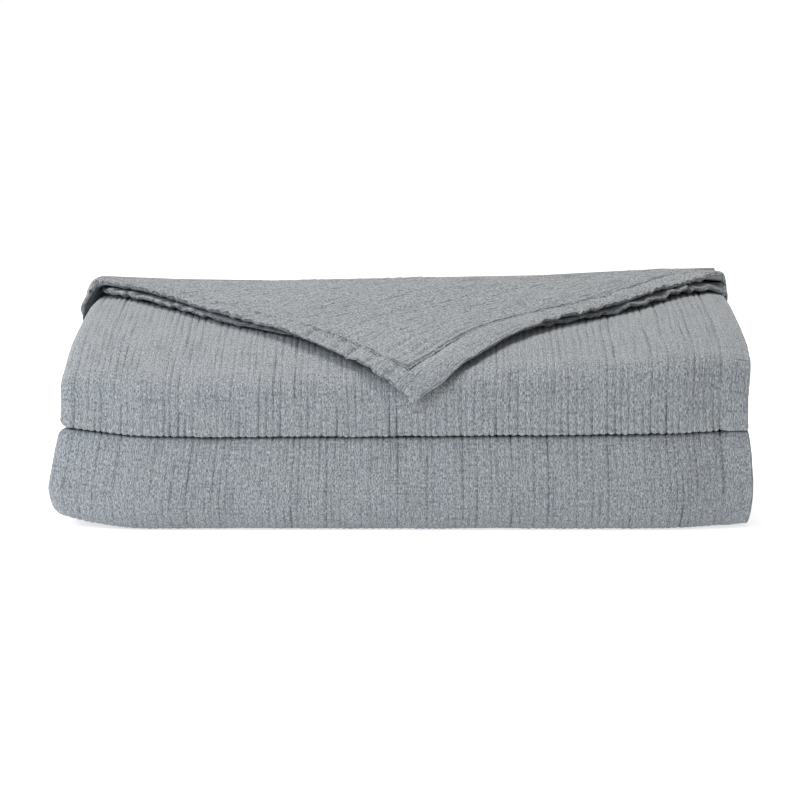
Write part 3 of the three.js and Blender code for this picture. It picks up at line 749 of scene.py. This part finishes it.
    def lay_corner(self, last, layer):
        """Turns one layer of the last row up and forward, over the top, to its tip. One of its sides
        is free, and the other is cut free from the side fold."""
        pick = last["pieces"]["piece"] == layer["piece"]
        piece, share, at = (last["pieces"][name][pick] for name in ("piece", "share", "at"))
        angles = math.pi * np.arange(1, layer["turn_steps"])[:, None] / layer["turn_steps"]
        outer, inner = (
            self.back_turn(layer, angles, across_point(piece, share, offset)[0][None, :], offset, at[None, :])
            for offset in (THICKNESS / 2, -THICKNESS / 2)
        )
        free_rim, cut_rim = (self.back_turn(layer, angles, x, 0, 0.0)[:, 0] for x in RIM_X)
        free, cut = ("start", "end") if layer["way"] < 0 else ("end", "start")
        previous = {face: (last[face][0][pick], at) for face in ("outer", "inner")}
        previous.update({free: last[free], cut: None})
        for number in range(len(angles)):
            row = {"outer": (outer[number], at), "inner": (inner[number], at)}
            row.update({free: free_rim[number], cut: cut_rim[number]})
            self.mesh.join(previous, row)
            previous = row
        running = layer["way"] * across_point(piece, share, 0)[0] / RIGHT_REACH
        for face in ("outer", "inner"):
            previous[face] = previous[face][0], running
        length = CORNER_LENGTH - layer["set_back"][1] * ROOT_2 - TIP_HALF_WIDTH
        even = np.arange(FIRST_RIB_ROW, length - ROW_PITCH / 2, ROW_PITCH)
        for forward in np.concatenate([FIRST_ROWS, even, [length]]):
            row = self.corner_row(forward, layer)
            joined = row
            if row["ribbed"] and not previous.get("ribbed"):
                joined = {**row, "outer": (row["outer"][0], row["even"])}
            self.mesh.join(previous, joined)
            previous = row
        self.mesh.close_end(previous, True)

    def corner_row(self, forward, layer):
        """One row of the corner: its upper and lower face and the two rim points, from left to right
        or as the layer runs."""
        left, right, bows = corner_ends(forward, layer)
        ribbed = layer["ribbed"] and forward >= FIRST_RIB_ROW
        start = CORNER_MIDDLE_X + CORNER_LENGTH - forward
        narrow = min(1.0, (right - left) / TIP_NARROWS_FROM)
        notch = self.left_notch((start - left) / ROOT_2, layer) * narrow
        notch = float(notch * (1 - step(-left, NOTCH_QUIET)))
        wave = float(uneven("right_notch", right - start + 2 * forward, 0))
        right = right - narrow * (NOTCH_DEPTH + wave)
        low, high = left + EDGE_INSET * narrow + notch, right - EDGE_INSET * narrow
        steps = EDGE_STEPS * narrow
        hem_end = left + (self.hem - LEFT_HEM_LESS + SEAM_LINES[-1] + HEM_END_PAST) * ROOT_2
        bound = min(hem_end, (left + right) / 2)
        plain = corner_stations(low, high, steps)
        lists = {"outer": plain, "inner": plain, "rims": np.array([left + notch, right])}
        if ribbed:
            left_lines = np.append(LEFT_HEM_LINES, self.hem - LEFT_HEM_LESS + SEAM_LINES)
            near_left = left + left_lines * ROOT_2
            ribs = start - bows[1] - self.corner_ribs.lines * ROOT_2
            others = np.append(ribs, right - (self.hem + SEAM_LINES) * ROOT_2)
            inside = np.append(near_left[near_left < bound], others[others > bound])
            clear = steps[-1] + CLEAR_OF_EDGE
            inside = inside[(inside > low + clear) & (inside < high - clear)]
            inside = np.unique(np.round(inside, 4))
            inside = inside[np.diff(inside, prepend=-np.inf) > LEAST_STEP]
            lists["outer"] = np.concatenate([[low], low + steps, inside, high - steps[::-1], [high]])
        row = {"ribbed": ribbed}
        for name, offset in (("outer", THICKNESS / 2), ("inner", -THICKNESS / 2), ("rims", 0.0)):
            places = strayed = lists[name]
            a, b = hem_places(forward, places, bows)
            even = 2 * (places - low) / (high - low) - 1
            running = even
            height = layer["level"] + layer["face"] * offset + self.corner_wave(forward, places, a, b, layer)
            if name == "inner":
                thicker = 1 - smooth((b - self.hem) / THICKER_ENDS_OVER)
                height = height - HEM_THICKER * layer["face"] * thicker
            edge = np.minimum(places - left - notch, right - places)
            inward = 1 - np.clip(edge / EDGE_ROUND, 0, 1)
            height = height - np.sign(offset) * layer["face"] * EDGE_DROP * (1 - np.sqrt(1 - inward ** 2))
            # Painted shade in the creases across the hems, on every face and the rims
            crease = RIM_SHADE * self.hem_puckers(a + layer["crease_shift"], b)
            if ribbed and name == "outer":
                along_left, along_right = places - forward - bows[0] - FAR, places + forward + bows[1]
                running = np.where(places < bound, along_left, along_right)
                height = height + self.corner_height(a, b, np.minimum(places - left, right - places))
                # On the upper face: painted shade in the seam lines, the creases across the hems and the
                # ribs' grooves
                hems = np.maximum(CORNER_SEAM["shade"] * self.corner_seam(a, b),
                                  CREASE_SHADE * self.hem_puckers(a, b))
                crease = np.maximum(RIB_SHADE * self.corner_ribs.groove(a, b), hems)
                stray = step(np.minimum(a, b) - self.hem, STRAY_STARTS) * uneven("corner_stray", a, b)
                strayed = places + stray
            ids = self.mesh.add(corner_point(forward, strayed, height, layer), a, b, crease)
            if layer["way"] < 0:
                ids, running, even = ids[::-1], -running[::-1], -even[::-1]
            row[name] = (ids, running)
            if name == "outer":
                row["even"] = even
        row["start"], row["end"] = row.pop("rims")[0]
        return row

    def corner_height(self, a, b, edge):
        """Relief of the turned corner's upper face: ribs that lie at equal a, wrinkles and slow swells,
        less the creases and seam lines, fading out at the edges, and the raised bands of the hems."""
        relief = self.corner_ribs.relief(a, b, CORNER_RIB_DEPTH * self.depth, self.pucker, CORNER_CROWN)
        relief = relief + uneven("corner_wrinkle", a, b) + uneven("corner_swell", a, b)
        relief = relief - HEM_CREASES["depth"] * self.hem_puckers(a, b)
        relief = relief - CORNER_SEAM["depth"] * self.corner_seam(a, b)
        return relief * step(edge, CORNER_EDGE) + self.hem_band(np.minimum(a, b))

    def hem_crease(self, run):
        """How deep the nearest of the creases across a hem is at this running length, 0 to 1."""
        middles = (self.hem_creases[1:] + self.hem_creases[:-1]) / 2
        number = np.searchsorted(middles, run)
        return self.crease_strengths[number] * bell(run - self.hem_creases[number], HEM_CREASES["width"])

    def right_crease(self, b, shift=0.0):
        """The same along the right hem."""
        return self.hem_crease(RIGHT_CREASES["closer"] * b + RIGHT_CREASES["shift"] + shift)

    def hem_puckers(self, a, b):
        """Creases across the left hem, and across the far part of the right hem, 0 to 1. They fade out
        just past the seam line."""
        left = self.hem_crease(a) * (1 - step(b - self.hem, HEM_CREASES["left_ends"]))
        right = self.right_crease(b) * (1 - step(a - self.hem, HEM_CREASES["right_ends"]))
        return np.maximum(left, right * step(b, RIGHT_CREASES["start"]))

    def corner_seam(self, a, b):
        """Depth of the seam lines, 0 to 1, by the distance from both hems."""
        past = np.minimum(a, b) - self.hem
        second = CORNER_SEAM["second"] * bell(past - CORNER_SEAM["apart"], CORNER_SEAM["width"])
        return np.maximum(bell(past, CORNER_SEAM["width"]), second)

    def corner_wave(self, forward, sideways, a, b, layer):
        """How far a whole layer of the corner rises: in quick and slow waves along its puckered left
        hem and along the far part of its right hem, less the dips of their creases. Near the tip the
        right edge is tucked down to the stack, and at the back the right side is pressed down on it."""
        shift, seed, rise = layer["crease_shift"], layer["seed"], layer["wave_rise"]
        left = uneven("left_quick", a, b, seed) + rise - LEFT_DIPS * self.hem_crease(a + shift)
        left = (left + uneven("left_slow", a, b, seed)) * np.exp(-np.maximum(b, 0) / LEFT_WAVE_REACH)
        right = uneven("right_quick", b, a, seed) + RIGHT_RISE * rise
        right = (right - RIGHT_DIPS * self.right_crease(b, shift)) * step(b, RIGHT_CREASES["start"])
        right = (right + uneven("right_slow", b, a, seed)) * step(forward, RIGHT_WAVE_STARTS)
        right = right * np.exp(-np.maximum(a, 0) / RIGHT_WAVE_REACH)
        quiet = smooth((CORNER_LENGTH - forward) / TIP_QUIET_OVER) * (1 - step(-sideways, DRAPE_QUIET))
        tuck = (1 - step(a, TUCK_WIDTH)) * (1 - step(b, TUCK_ENDS)) * step(b, TUCK_STARTS)
        pressed = step(sideways, PRESSED_STARTS) * (1 - step(forward, PRESSED_ENDS))
        return quiet * layer["wave"] * (left + right) - layer["tuck"] * tuck - layer["pressed"] * pressed

    def left_notch(self, a, layer):
        """How far the left edge is drawn in: by the creases that reach it, and by a slower wave."""
        pulled = HEM_CREASES["pull"] * self.hem_crease(a + layer["crease_shift"])
        return pulled + NOTCH_DEPTH + uneven("left_notch", a + layer["notch_shift"], 0, layer["seed"])

    def first_layer_point(self, place, along, height):
        """A point over the first layer's outer face, at a running length of the half that shows."""
        at = np.clip(np.searchsorted(self.along, along), 1, self.along.size - 1)
        share = (along - self.along[at - 1]) / (self.along[at] - self.along[at - 1])
        same = self.rows["panel"][at] == self.rows["panel"][at - 1]
        row = {"panel": self.rows["panel"][at - 1], "start": self.rows["start"][at - 1]}
        for name, last in (("share", 1.0), ("angle", math.pi)):
            values = self.rows[name]
            row[name] = blend(values[at - 1], np.where(same, values[at], last), share)
        level = ACROSS["level"][0] * PITCH + THICKNESS / 2 + self.first_layer_height(place, along) + height
        return bundle_point(row, RIGHT_REACH - place + self.wander(place, along), level)

    def corner_surface(self, a, b, height, at_right):
        """A point over the corner's upper face, a from its right edge and b from its left edge, one of
        them measured from the edge that is drawn in."""
        forward = CORNER_LENGTH - (a + b) / ROOT_2
        for _ in range(EDGE_ROUNDS):
            left, right, bows = corner_ends(forward, UPPER_LAYER)
            drawn_in = bows[1] if at_right else bows[0]
            forward = CORNER_LENGTH - (a + b + drawn_in / ROOT_2) / ROOT_2
        sideways = CORNER_MIDDLE_X + (b - a) / ROOT_2 + (-0.5 if at_right else 0.5) * drawn_in
        a, b = hem_places(forward, sideways, bows)
        level = UPPER_LAYER["level"] + THICKNESS / 2 + height
        level = level + self.corner_wave(forward, sideways, a, b, UPPER_LAYER)
        level = level + self.corner_height(a, b, np.minimum(sideways - left, right - sideways))
        return corner_point(forward, sideways, level, UPPER_LAYER)

    def make_stitches(self, sizes, material):
        """All hem stitches as one mesh: short threads whose ends dip into the cloth, along the corner's
        two hems, both front folds and the top."""
        length, radius = sizes.stitch_length / MM, sizes.thread_width / MM / 2
        rows, front = self.rows, self.rows["start"] == math.pi
        bent = rows["angle"] > 0
        lower = self.along[front & (rows["panel"] == 0) & bent]
        top = (rows["panel"] == 3) & (rows["share"] < TOP_STITCH_SHARE)
        upper = self.along[front & ((rows["panel"] == 2) & bent | top)]
        corner = self.hem + FIRST_STITCH, CORNER_LENGTH * ROOT_2 - 2 * self.hem

        def on_left(run, side, height):
            return self.corner_surface(run, self.hem - LEFT_HEM_LESS + side, height, False)

        def on_right(run, side, height):
            return self.corner_surface(self.hem + side, run, height, True)

        def on_front(run, side, height):
            return self.first_layer_point(self.hem + side, run, height)

        lines = [(on_left, corner), (on_right, corner)]
        lines += [(on_front, (runs.min(), runs.max())) for runs in (lower, upper)]
        pitch = length + sizes.stitch_gap / MM
        tubes = [stitch_tubes(line, np.arange(*ends, pitch), length, radius) for line, ends in lines]
        return join_tubes("hem_stitches", tubes, material)


def stitch_tubes(line, starts, length, radius):
    """Grid of tube points for each stitch. Along a stitch its middle rises as an arch that starts and
    ends in the cloth, round it runs a circle: side = r cos p, height = arch + r sin p."""
    share = STITCH_RINGS[:, None]
    angle = 2 * math.pi * np.arange(STITCH_SIDES) / STITCH_SIDES
    arch = np.sqrt(np.clip(np.sin(math.pi * share), 0, 1))
    arch = radius * (STITCH_ARCH["rise"] * arch - STITCH_ARCH["sunk"])
    run = starts[:, None, None] + length * share
    return line(run, radius * np.cos(angle), arch + radius * np.sin(angle))


def join_tubes(name, tubes, material):
    """One mesh from grids of (stitch, ring, side) points, with both ends of each stitch closed."""
    points = np.concatenate(tubes)
    ids = np.arange(points.size // 3).reshape(points.shape[:3])
    ring, after = ids[:, :-1, :], ids[:, 1:, :]
    turned, turned_after = np.roll(ring, -1, 2), np.roll(after, -1, 2)
    first, last = ids[:, 0, :], ids[:, -1, :]
    fan = np.arange(1, STITCH_SIDES - 1)
    corners = [
        (ring, turned, after), (turned, turned_after, after),
        (first[:, :1] + 0 * fan, first[:, fan + 1], first[:, fan]),
        (last[:, :1] + 0 * fan, last[:, fan], last[:, fan + 1]),
    ]
    triangles = np.concatenate([np.stack(corner, -1).reshape(-1, 3) for corner in corners])
    share = np.broadcast_to(STITCH_RINGS[None, :, None], ids.shape).ravel()
    around = np.broadcast_to(np.arange(STITCH_SIDES) / STITCH_SIDES, ids.shape).ravel()
    return mesh_object(name, points.reshape(-1, 3) * MM, triangles, np.stack([around, share], -1), material)


def srgb(text):
    """The three values, 0 to 1, of an sRGB hex colour."""
    return [int(text[i:i + 2], 16) / 255 for i in (1, 3, 5)]


def hex_text(colour):
    """The sRGB hex of a colour property kept as sRGB values."""
    return "#" + "".join(f"{round(255 * value):02x}" for value in colour[:3])


def linear_colour(text):
    """sRGB hex to linear RGBA: c / 12.92 below 0.04045, otherwise ((c + 0.055) / 1.055) ^ 2.4."""
    return [v / 12.92 if v <= 0.04045 else ((v + 0.055) / 1.055) ** 2.4 for v in srgb(text)] + [1.0]


def add_node(tree, kind, settings=None, **inputs):
    """Adds one node, sets its own settings, and sets or links its inputs by name, or by number after
    a low line."""
    node = tree.nodes.new(kind)
    for name, value in (settings or {}).items():
        setattr(node, name, value)
    for name, value in inputs.items():
        socket = node.inputs[int(name[1:]) if name.startswith("_") else name.replace("_", " ")]
        if isinstance(value, bpy.types.NodeSocket):
            tree.links.new(value, socket)
        else:
            socket.default_value = value
    return node


def make_material(name, shader_inputs):
    """A material of one shader. shader_inputs makes its other nodes and gives what goes into it."""
    material = bpy.data.materials.new(name)
    material.use_nodes = True
    tree = material.node_tree
    tree.nodes.clear()
    shader = add_node(tree, "ShaderNodeBsdfPrincipled", **shader_inputs(tree))
    add_node(tree, "ShaderNodeOutputMaterial", Surface=shader.outputs[0])
    return material


# Grains of the cloth's pattern: millimetres across and along the ribs, detail and roughness
GRAINS = {
    "slubs": (0.9, 5.0, 2.0, 0.6),
    "specks": (0.8, 2.1, 1.0, 0.5),
    "dashes": (3.0, 3.5, 1.0, 0.5),
    "pleats": (2.2, 40.0, 2.0, 0.6),
    "crimps": (3.2, 6.0, 2.0, 0.55),
    "cross": (26.0, 1.7, 2.0, 0.55),
    "patches": (30.0, 45.0, 2.0, 0.5),
}
# Colours laid over the yarn's tone in order: by which grain, its smooth step from and to, and the
# colour's share at the two ends. The dark over low pleats is painted shade in their grooves, and the
# dark over the cross grain is painted shade of fine creases across the ribs
TINTS = [
    ("dark", "slubs", 0.36, 0.62, 0.6, 0.0),
    ("pale", "specks", 0.52, 0.76, 0.0, 0.5),
    ("dark", "specks", 0.3, 0.49, 0.95, 0.0),
    # Painted shade in the pleats' grooves and in fine creases across the ribs
    ("dark", "pleats", 0.3, 0.45, 0.35, 0.0),
    ("dark", "cross", 0.3, 0.44, 0.45, 0.0),
]
# The same for the dashes that break up the painted shade in the creases, for that painted shade
# and for pleats in the bump, and how much the crimps add to it
DASHED = (0.35, 0.6, 0.35, 1.15)
SHADED = (0.02, 1.0, 0.0, 0.68)
PLEATED = (0.3, 0.55)
CRIMPED = 0.35
# How dark the painted shade is between the thread's twisted strands
TWIST_SHADE = 0.6


def woven_cotton(colours):
    """Yarn-dyed double-woven cotton: heathered yarns of three greys, dull, with a faint fuzz that
    catches the light at grazing angles. Single yarns are 0.5 mm wide, drawn at 0.9 mm so that they
    show, and fine pleats 2.2 mm apart run along the cloth between the raised ribs. Shade is painted
    into the creases, the grooves of the fine pleats and fine lines across the ribs."""

    def shader_inputs(tree):
        flat = add_node(tree, "ShaderNodeUVMap", {"uv_map": "flat_cloth"}).outputs[0]
        grains = {}
        for name, (across, along, detail, roughness) in GRAINS.items():
            scale = (1 / (across * MM), 1 / (along * MM), 1)
            place = add_node(tree, "ShaderNodeMapping", Vector=flat, Scale=scale).outputs[0]
            grain = {"Vector": place, "Scale": 1.0, "Detail": detail, "Roughness": roughness}
            grains[name] = add_node(tree, "ShaderNodeTexNoise", **grain).outputs["Fac"]

        def stepped(value, low, high, to_low=0.0, to_high=1.0):
            """A smooth step of the value, from low to high."""
            settings = {"interpolation_type": "SMOOTHSTEP"}
            ends = {"_1": low, "_2": high, "_3": to_low, "_4": to_high}
            return add_node(tree, "ShaderNodeMapRange", settings, Value=value, **ends).outputs[0]

        def mixed(share, first, second):
            """Two colours mixed by a share."""
            colours = {"_6": first, "_7": second}
            return add_node(tree, "ShaderNodeMix", {"data_type": "RGBA"}, _0=share, **colours).outputs[2]

        def summed(first, second, weight):
            """first + weight * second."""
            terms = {"_0": second, "_1": weight, "_2": first}
            return add_node(tree, "ShaderNodeMath", {"operation": "MULTIPLY_ADD"}, **terms).outputs[0]

        linear = {name: linear_colour(text) for name, text in colours.items()}
        cloth = mixed(grains["patches"], linear["cool"], linear["warm"])
        for colour, grain, *ends in TINTS:
            cloth = mixed(stepped(grains[grain], *ends), cloth, linear[colour])
        # Painted shade: the creases darken the cloth, in dashes, towards the colour of their shade
        crease = add_node(tree, "ShaderNodeAttribute", {"attribute_name": "crease"}).outputs["Fac"]
        dashed = stepped(grains["dashes"], *DASHED)
        depth = add_node(tree, "ShaderNodeMath", {"operation": "MULTIPLY"}, _0=crease, _1=dashed).outputs[0]
        cloth = mixed(stepped(depth, *SHADED), cloth, linear["crease"])
        yarns = summed(grains["slubs"], grains["specks"], 1.0)
        pleats = summed(stepped(grains["pleats"], *PLEATED), grains["crimps"], CRIMPED)
        bump = add_node(tree, "ShaderNodeBump", Strength=0.7, Distance=0.5 * MM, Height=yarns).outputs[0]
        bump = add_node(tree, "ShaderNodeBump", Strength=0.6, Distance=0.9 * MM, Height=pleats, Normal=bump)
        return {
            "Base_Color": cloth, "Normal": bump.outputs[0], "Roughness": 0.92, "IOR": 1.47,
            "Specular_IOR_Level": 0.25, "Sheen_Weight": 0.2, "Sheen_Roughness": 0.45,
        }

    return make_material("yarn_dyed_double_woven_cotton", shader_inputs)


def spun_thread(colour):
    """Spun cotton sewing thread: a dull twisted surface, with its twist as slanted stripes and painted
    shade between its strands.
    """

    def shader_inputs(tree):
        flat = add_node(tree, "ShaderNodeUVMap", {"uv_map": "flat_cloth"}).outputs[0]
        twist = add_node(tree, "ShaderNodeMapping", Vector=flat, Rotation=(0, 0, 0.6), Scale=(1, 4, 1))
        wave = add_node(tree, "ShaderNodeTexWave", Vector=twist.outputs[0], Scale=1.5, Distortion=0.5)
        wave = wave.outputs["Fac"]
        bump = add_node(tree, "ShaderNodeBump", Strength=0.5, Distance=0.2 * MM, Height=wave)
        pale = linear_colour(colour)
        # Painted shade between the twisted strands
        dark = [TWIST_SHADE * value for value in pale[:3]] + [1.0]
        mix = add_node(tree, "ShaderNodeMix", {"data_type": "RGBA"}, _0=wave, _6=dark, _7=pale)
        return {"Base_Color": mix.outputs[2], "Normal": bump.outputs[0], "Roughness": 0.8}

    return make_material("spun_cotton_thread", shader_inputs)


def matt_paper(colour):
    """Matt studio paper: even and dull, and lit from behind, so that only soft shade shows on it."""
    return make_material("matt_studio_paper", lambda tree: {
        "Base_Color": linear_colour(colour), "Roughness": 0.9, "Specular_IOR_Level": 0.1,
        "Emission_Color": (1, 1, 1, 1), "Emission_Strength": 0.58,
    })


def length_property(name, description, millimetres, least=0.0):
    """A length that the user gives in the scene's units."""
    return FloatProperty(
        name=name, description=description, default=millimetres * MM, min=least * MM,
        unit="LENGTH", subtype="DISTANCE")


def colour_property(name, description, text):
    """A colour kept as sRGB values."""
    return FloatVectorProperty(
        name=name, description=description, default=srgb(text), size=3, min=0, max=1,
        subtype="COLOR_GAMMA")


class COVERLET_PG_cloth(bpy.types.PropertyGroup):
    """Sizes and colours of the cloth"""

    rib_spacing: length_property("Rib spacing", "Mean distance between two pleats", 6.1, 3)
    groove_depth: length_property("Groove depth", "Depth of the deepest pleat", 1.1)
    pucker_height: length_property("Pucker height", "Height of the puckers between the pleats", 0.25)
    hem_width: length_property("Hem width", "From the edge of the cloth to the hem's stitches", 25, 5)
    hem_rise: length_property("Hem rise", "How much thicker the turned hem is on one face", 0.8)
    stitch_length: length_property("Stitch length", "Length of one hem stitch", 2.8, 1)
    stitch_gap: length_property("Stitch gap", "Gap between two hem stitches", 0.8)
    thread_width: length_property("Thread width", "Diameter of the sewing thread", 0.6, 0.1)
    cool_yarn: colour_property("Cool yarn", "Colour of the bluer yarns", "#93989d")
    warm_yarn: colour_property("Warm yarn", "Colour of the greyer yarns", "#979a9a")
    dark_yarn: colour_property("Dark yarn", "Colour of the darkest yarns", "#555b60")
    pale_yarn: colour_property("Pale yarn", "Colour of the palest yarns", "#c0c4c7")
    # Colour of the painted shade deep in the creases
    crease_colour: colour_property("Crease colour", "Colour deep in the pleats, in little light", "#2e3236")
    thread_colour: colour_property("Thread colour", "Colour of the hem stitches", "#9aa1a6")


class COVERLET_PG_stage(bpy.types.PropertyGroup):
    """Floor, light and camera"""

    floor_colour: colour_property("Floor colour", "Colour of the floor", "#fafafa")
    sky_strength: FloatProperty(
        name="Surround light", description="Strength of the even light from all round",
        default=0.45, min=0.0)
    key_power: FloatProperty(
        name="Main light", description="Power of the large soft light at the front left",
        default=18.5, min=0.0, unit="POWER")
    top_power: FloatProperty(
        name="Top light", description="Power of the soft light overhead",
        default=31.0, min=0.0, unit="POWER")
    camera_distance: length_property(
        "Camera distance", "From the camera to the front of the coverlet", 2500, 500)
    camera_elevation: FloatProperty(
        name="Camera elevation", description="Angle of the camera above the floor",
        default=math.radians(8.5), unit="ROTATION", subtype="ANGLE")
    lens: FloatProperty(
        name="Lens", description="Focal length on a 36 mm wide sensor", default=136.2, min=10.0)


class COVERLET_OT_cloth(bpy.types.Operator):
    """Make the folded cloth with its ribs, hems and turned corner"""

    bl_idname = "coverlet.cloth"
    bl_label = "Make cloth"

    def execute(self, context):
        sizes = context.scene.coverlet_cloth
        yarns = ("cool", "warm", "dark", "pale")
        colours = {name: hex_text(getattr(sizes, f"{name}_yarn")) for name in yarns}
        # Colour of the painted shade in the creases
        colours["crease"] = hex_text(sizes.crease_colour)
        cloth = CoverletCloth(sizes).make(woven_cotton(colours))
        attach(cloth, ROOT_BODY)
        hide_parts(CLOTH_NODE)
        return {"FINISHED"}


class COVERLET_OT_stitches(bpy.types.Operator):
    bl_idname = "coverlet.stitches"
    bl_label = "Make hem stitches"

    def execute(self, context):
        sizes = context.scene.coverlet_cloth
        thread = spun_thread(hex_text(sizes.thread_colour))
        stitches = CoverletCloth(sizes).make_stitches(sizes, thread)
        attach(stitches, ROOT_BODY)
        return {"FINISHED"}


class COVERLET_OT_stage(bpy.types.Operator):
    """Make the floor, the lights and the camera"""

    bl_idname = "coverlet.stage"
    bl_label = "Make stage"

    FLOOR_REACH = 100.0
    LIGHTS_AIM = Vector((0, 0, 0.1))
    AIM = Vector((-6.86, -160.02, 90.0)) * MM
    # The picture's middle lies this far right of and above the aim
    FRAMING = (1.3 * MM, 21.5 * MM)

    def execute(self, context):
        scene, sizes = context.scene, context.scene.coverlet_stage
        self.make_floor(hex_text(sizes.floor_colour))
        world = bpy.data.worlds.new("studio")
        world.use_nodes = True
        surround = world.node_tree.nodes["Background"]
        surround.inputs["Color"].default_value = (1, 1, 1, 1)
        surround.inputs["Strength"].default_value = sizes.sky_strength
        scene.world = world
        self.make_light("main_light", sizes.key_power, (-1.05, -0.95, 1.1), "#ecf3ff", scene)
        self.make_light("top_light", sizes.top_power, (-0.2, 0.25, 1.9), "#fff8f0", scene)
        self.make_camera(scene, sizes)
        scene.view_settings.view_transform = "Standard"
        return {"FINISHED"}

    def make_floor(self, colour):
        corners = self.FLOOR_REACH * np.array([[-1, -1, 0], [1, -1, 0], [1, 1, 0], [-1, 1, 0]])
        triangles = np.array([[0, 1, 2], [0, 2, 3]])
        floor = mesh_object("studio_floor", corners, triangles, corners[:, :2], matt_paper(colour))

    def make_light(self, name, power, place, colour, scene):
        light = bpy.data.lights.new(name, "AREA")
        light.shape = "SQUARE"
        light.size = 1.0
        light.energy = power
        light.color = linear_colour(colour)[:3]
        lamp = bpy.data.objects.new(name, light)
        self.point_at(lamp, Vector(place), self.LIGHTS_AIM, scene)

    def make_camera(self, scene, sizes):
        elevation = sizes.camera_elevation
        back = Vector((0, -math.cos(elevation), math.sin(elevation)))
        up = Vector((0, math.sin(elevation), math.cos(elevation)))
        data = bpy.data.cameras.new("camera")
        data.sensor_width = 36.0
        data.lens = sizes.lens
        data.clip_start, data.clip_end = 0.1, 200.0
        camera = bpy.data.objects.new("camera", data)
        target = self.AIM + Vector((self.FRAMING[0], 0, 0)) + up * self.FRAMING[1]
        self.point_at(camera, self.AIM + back * sizes.camera_distance, target, scene)
        scene.camera = camera

    def point_at(self, obj, place, target, scene):
        obj.location = place
        obj.rotation_mode = "QUATERNION"
        obj.rotation_quaternion = (target - place).to_track_quat("-Z", "Y")
        scene.collection.objects.link(obj)


class COVERLET_PT_panel(bpy.types.Panel):
    """The coverlet's settings and operators"""

    bl_idname = "COVERLET_PT_panel"
    bl_label = "Coverlet"
    bl_space_type = "VIEW_3D"
    bl_region_type = "UI"
    bl_category = "Coverlet"

    def draw(self, context):
        layout = self.layout
        for group in (context.scene.coverlet_cloth, context.scene.coverlet_stage):
            for name in group.__annotations__:
                layout.prop(group, name)
        for operator in (COVERLET_OT_cloth, COVERLET_OT_stitches, COVERLET_OT_stage):
            layout.operator(operator.bl_idname)


CLASSES = (
    COVERLET_PG_cloth,
    COVERLET_PG_stage,
    COVERLET_OT_cloth,
    COVERLET_OT_stitches,
    COVERLET_OT_stage,
    COVERLET_PT_panel,
)


def register():
    for cls in CLASSES:
        bpy.utils.register_class(cls)
    bpy.types.Scene.coverlet_cloth = PointerProperty(type=COVERLET_PG_cloth)
    bpy.types.Scene.coverlet_stage = PointerProperty(type=COVERLET_PG_stage)


def unregister():
    del bpy.types.Scene.coverlet_stage
    del bpy.types.Scene.coverlet_cloth
    for cls in reversed(CLASSES):
        bpy.utils.unregister_class(cls)


def main():
    register()
    bpy.ops.coverlet.cloth()
    bpy.ops.coverlet.stitches()
    bpy.ops.coverlet.stage()


if __name__ == "__main__":
    main()
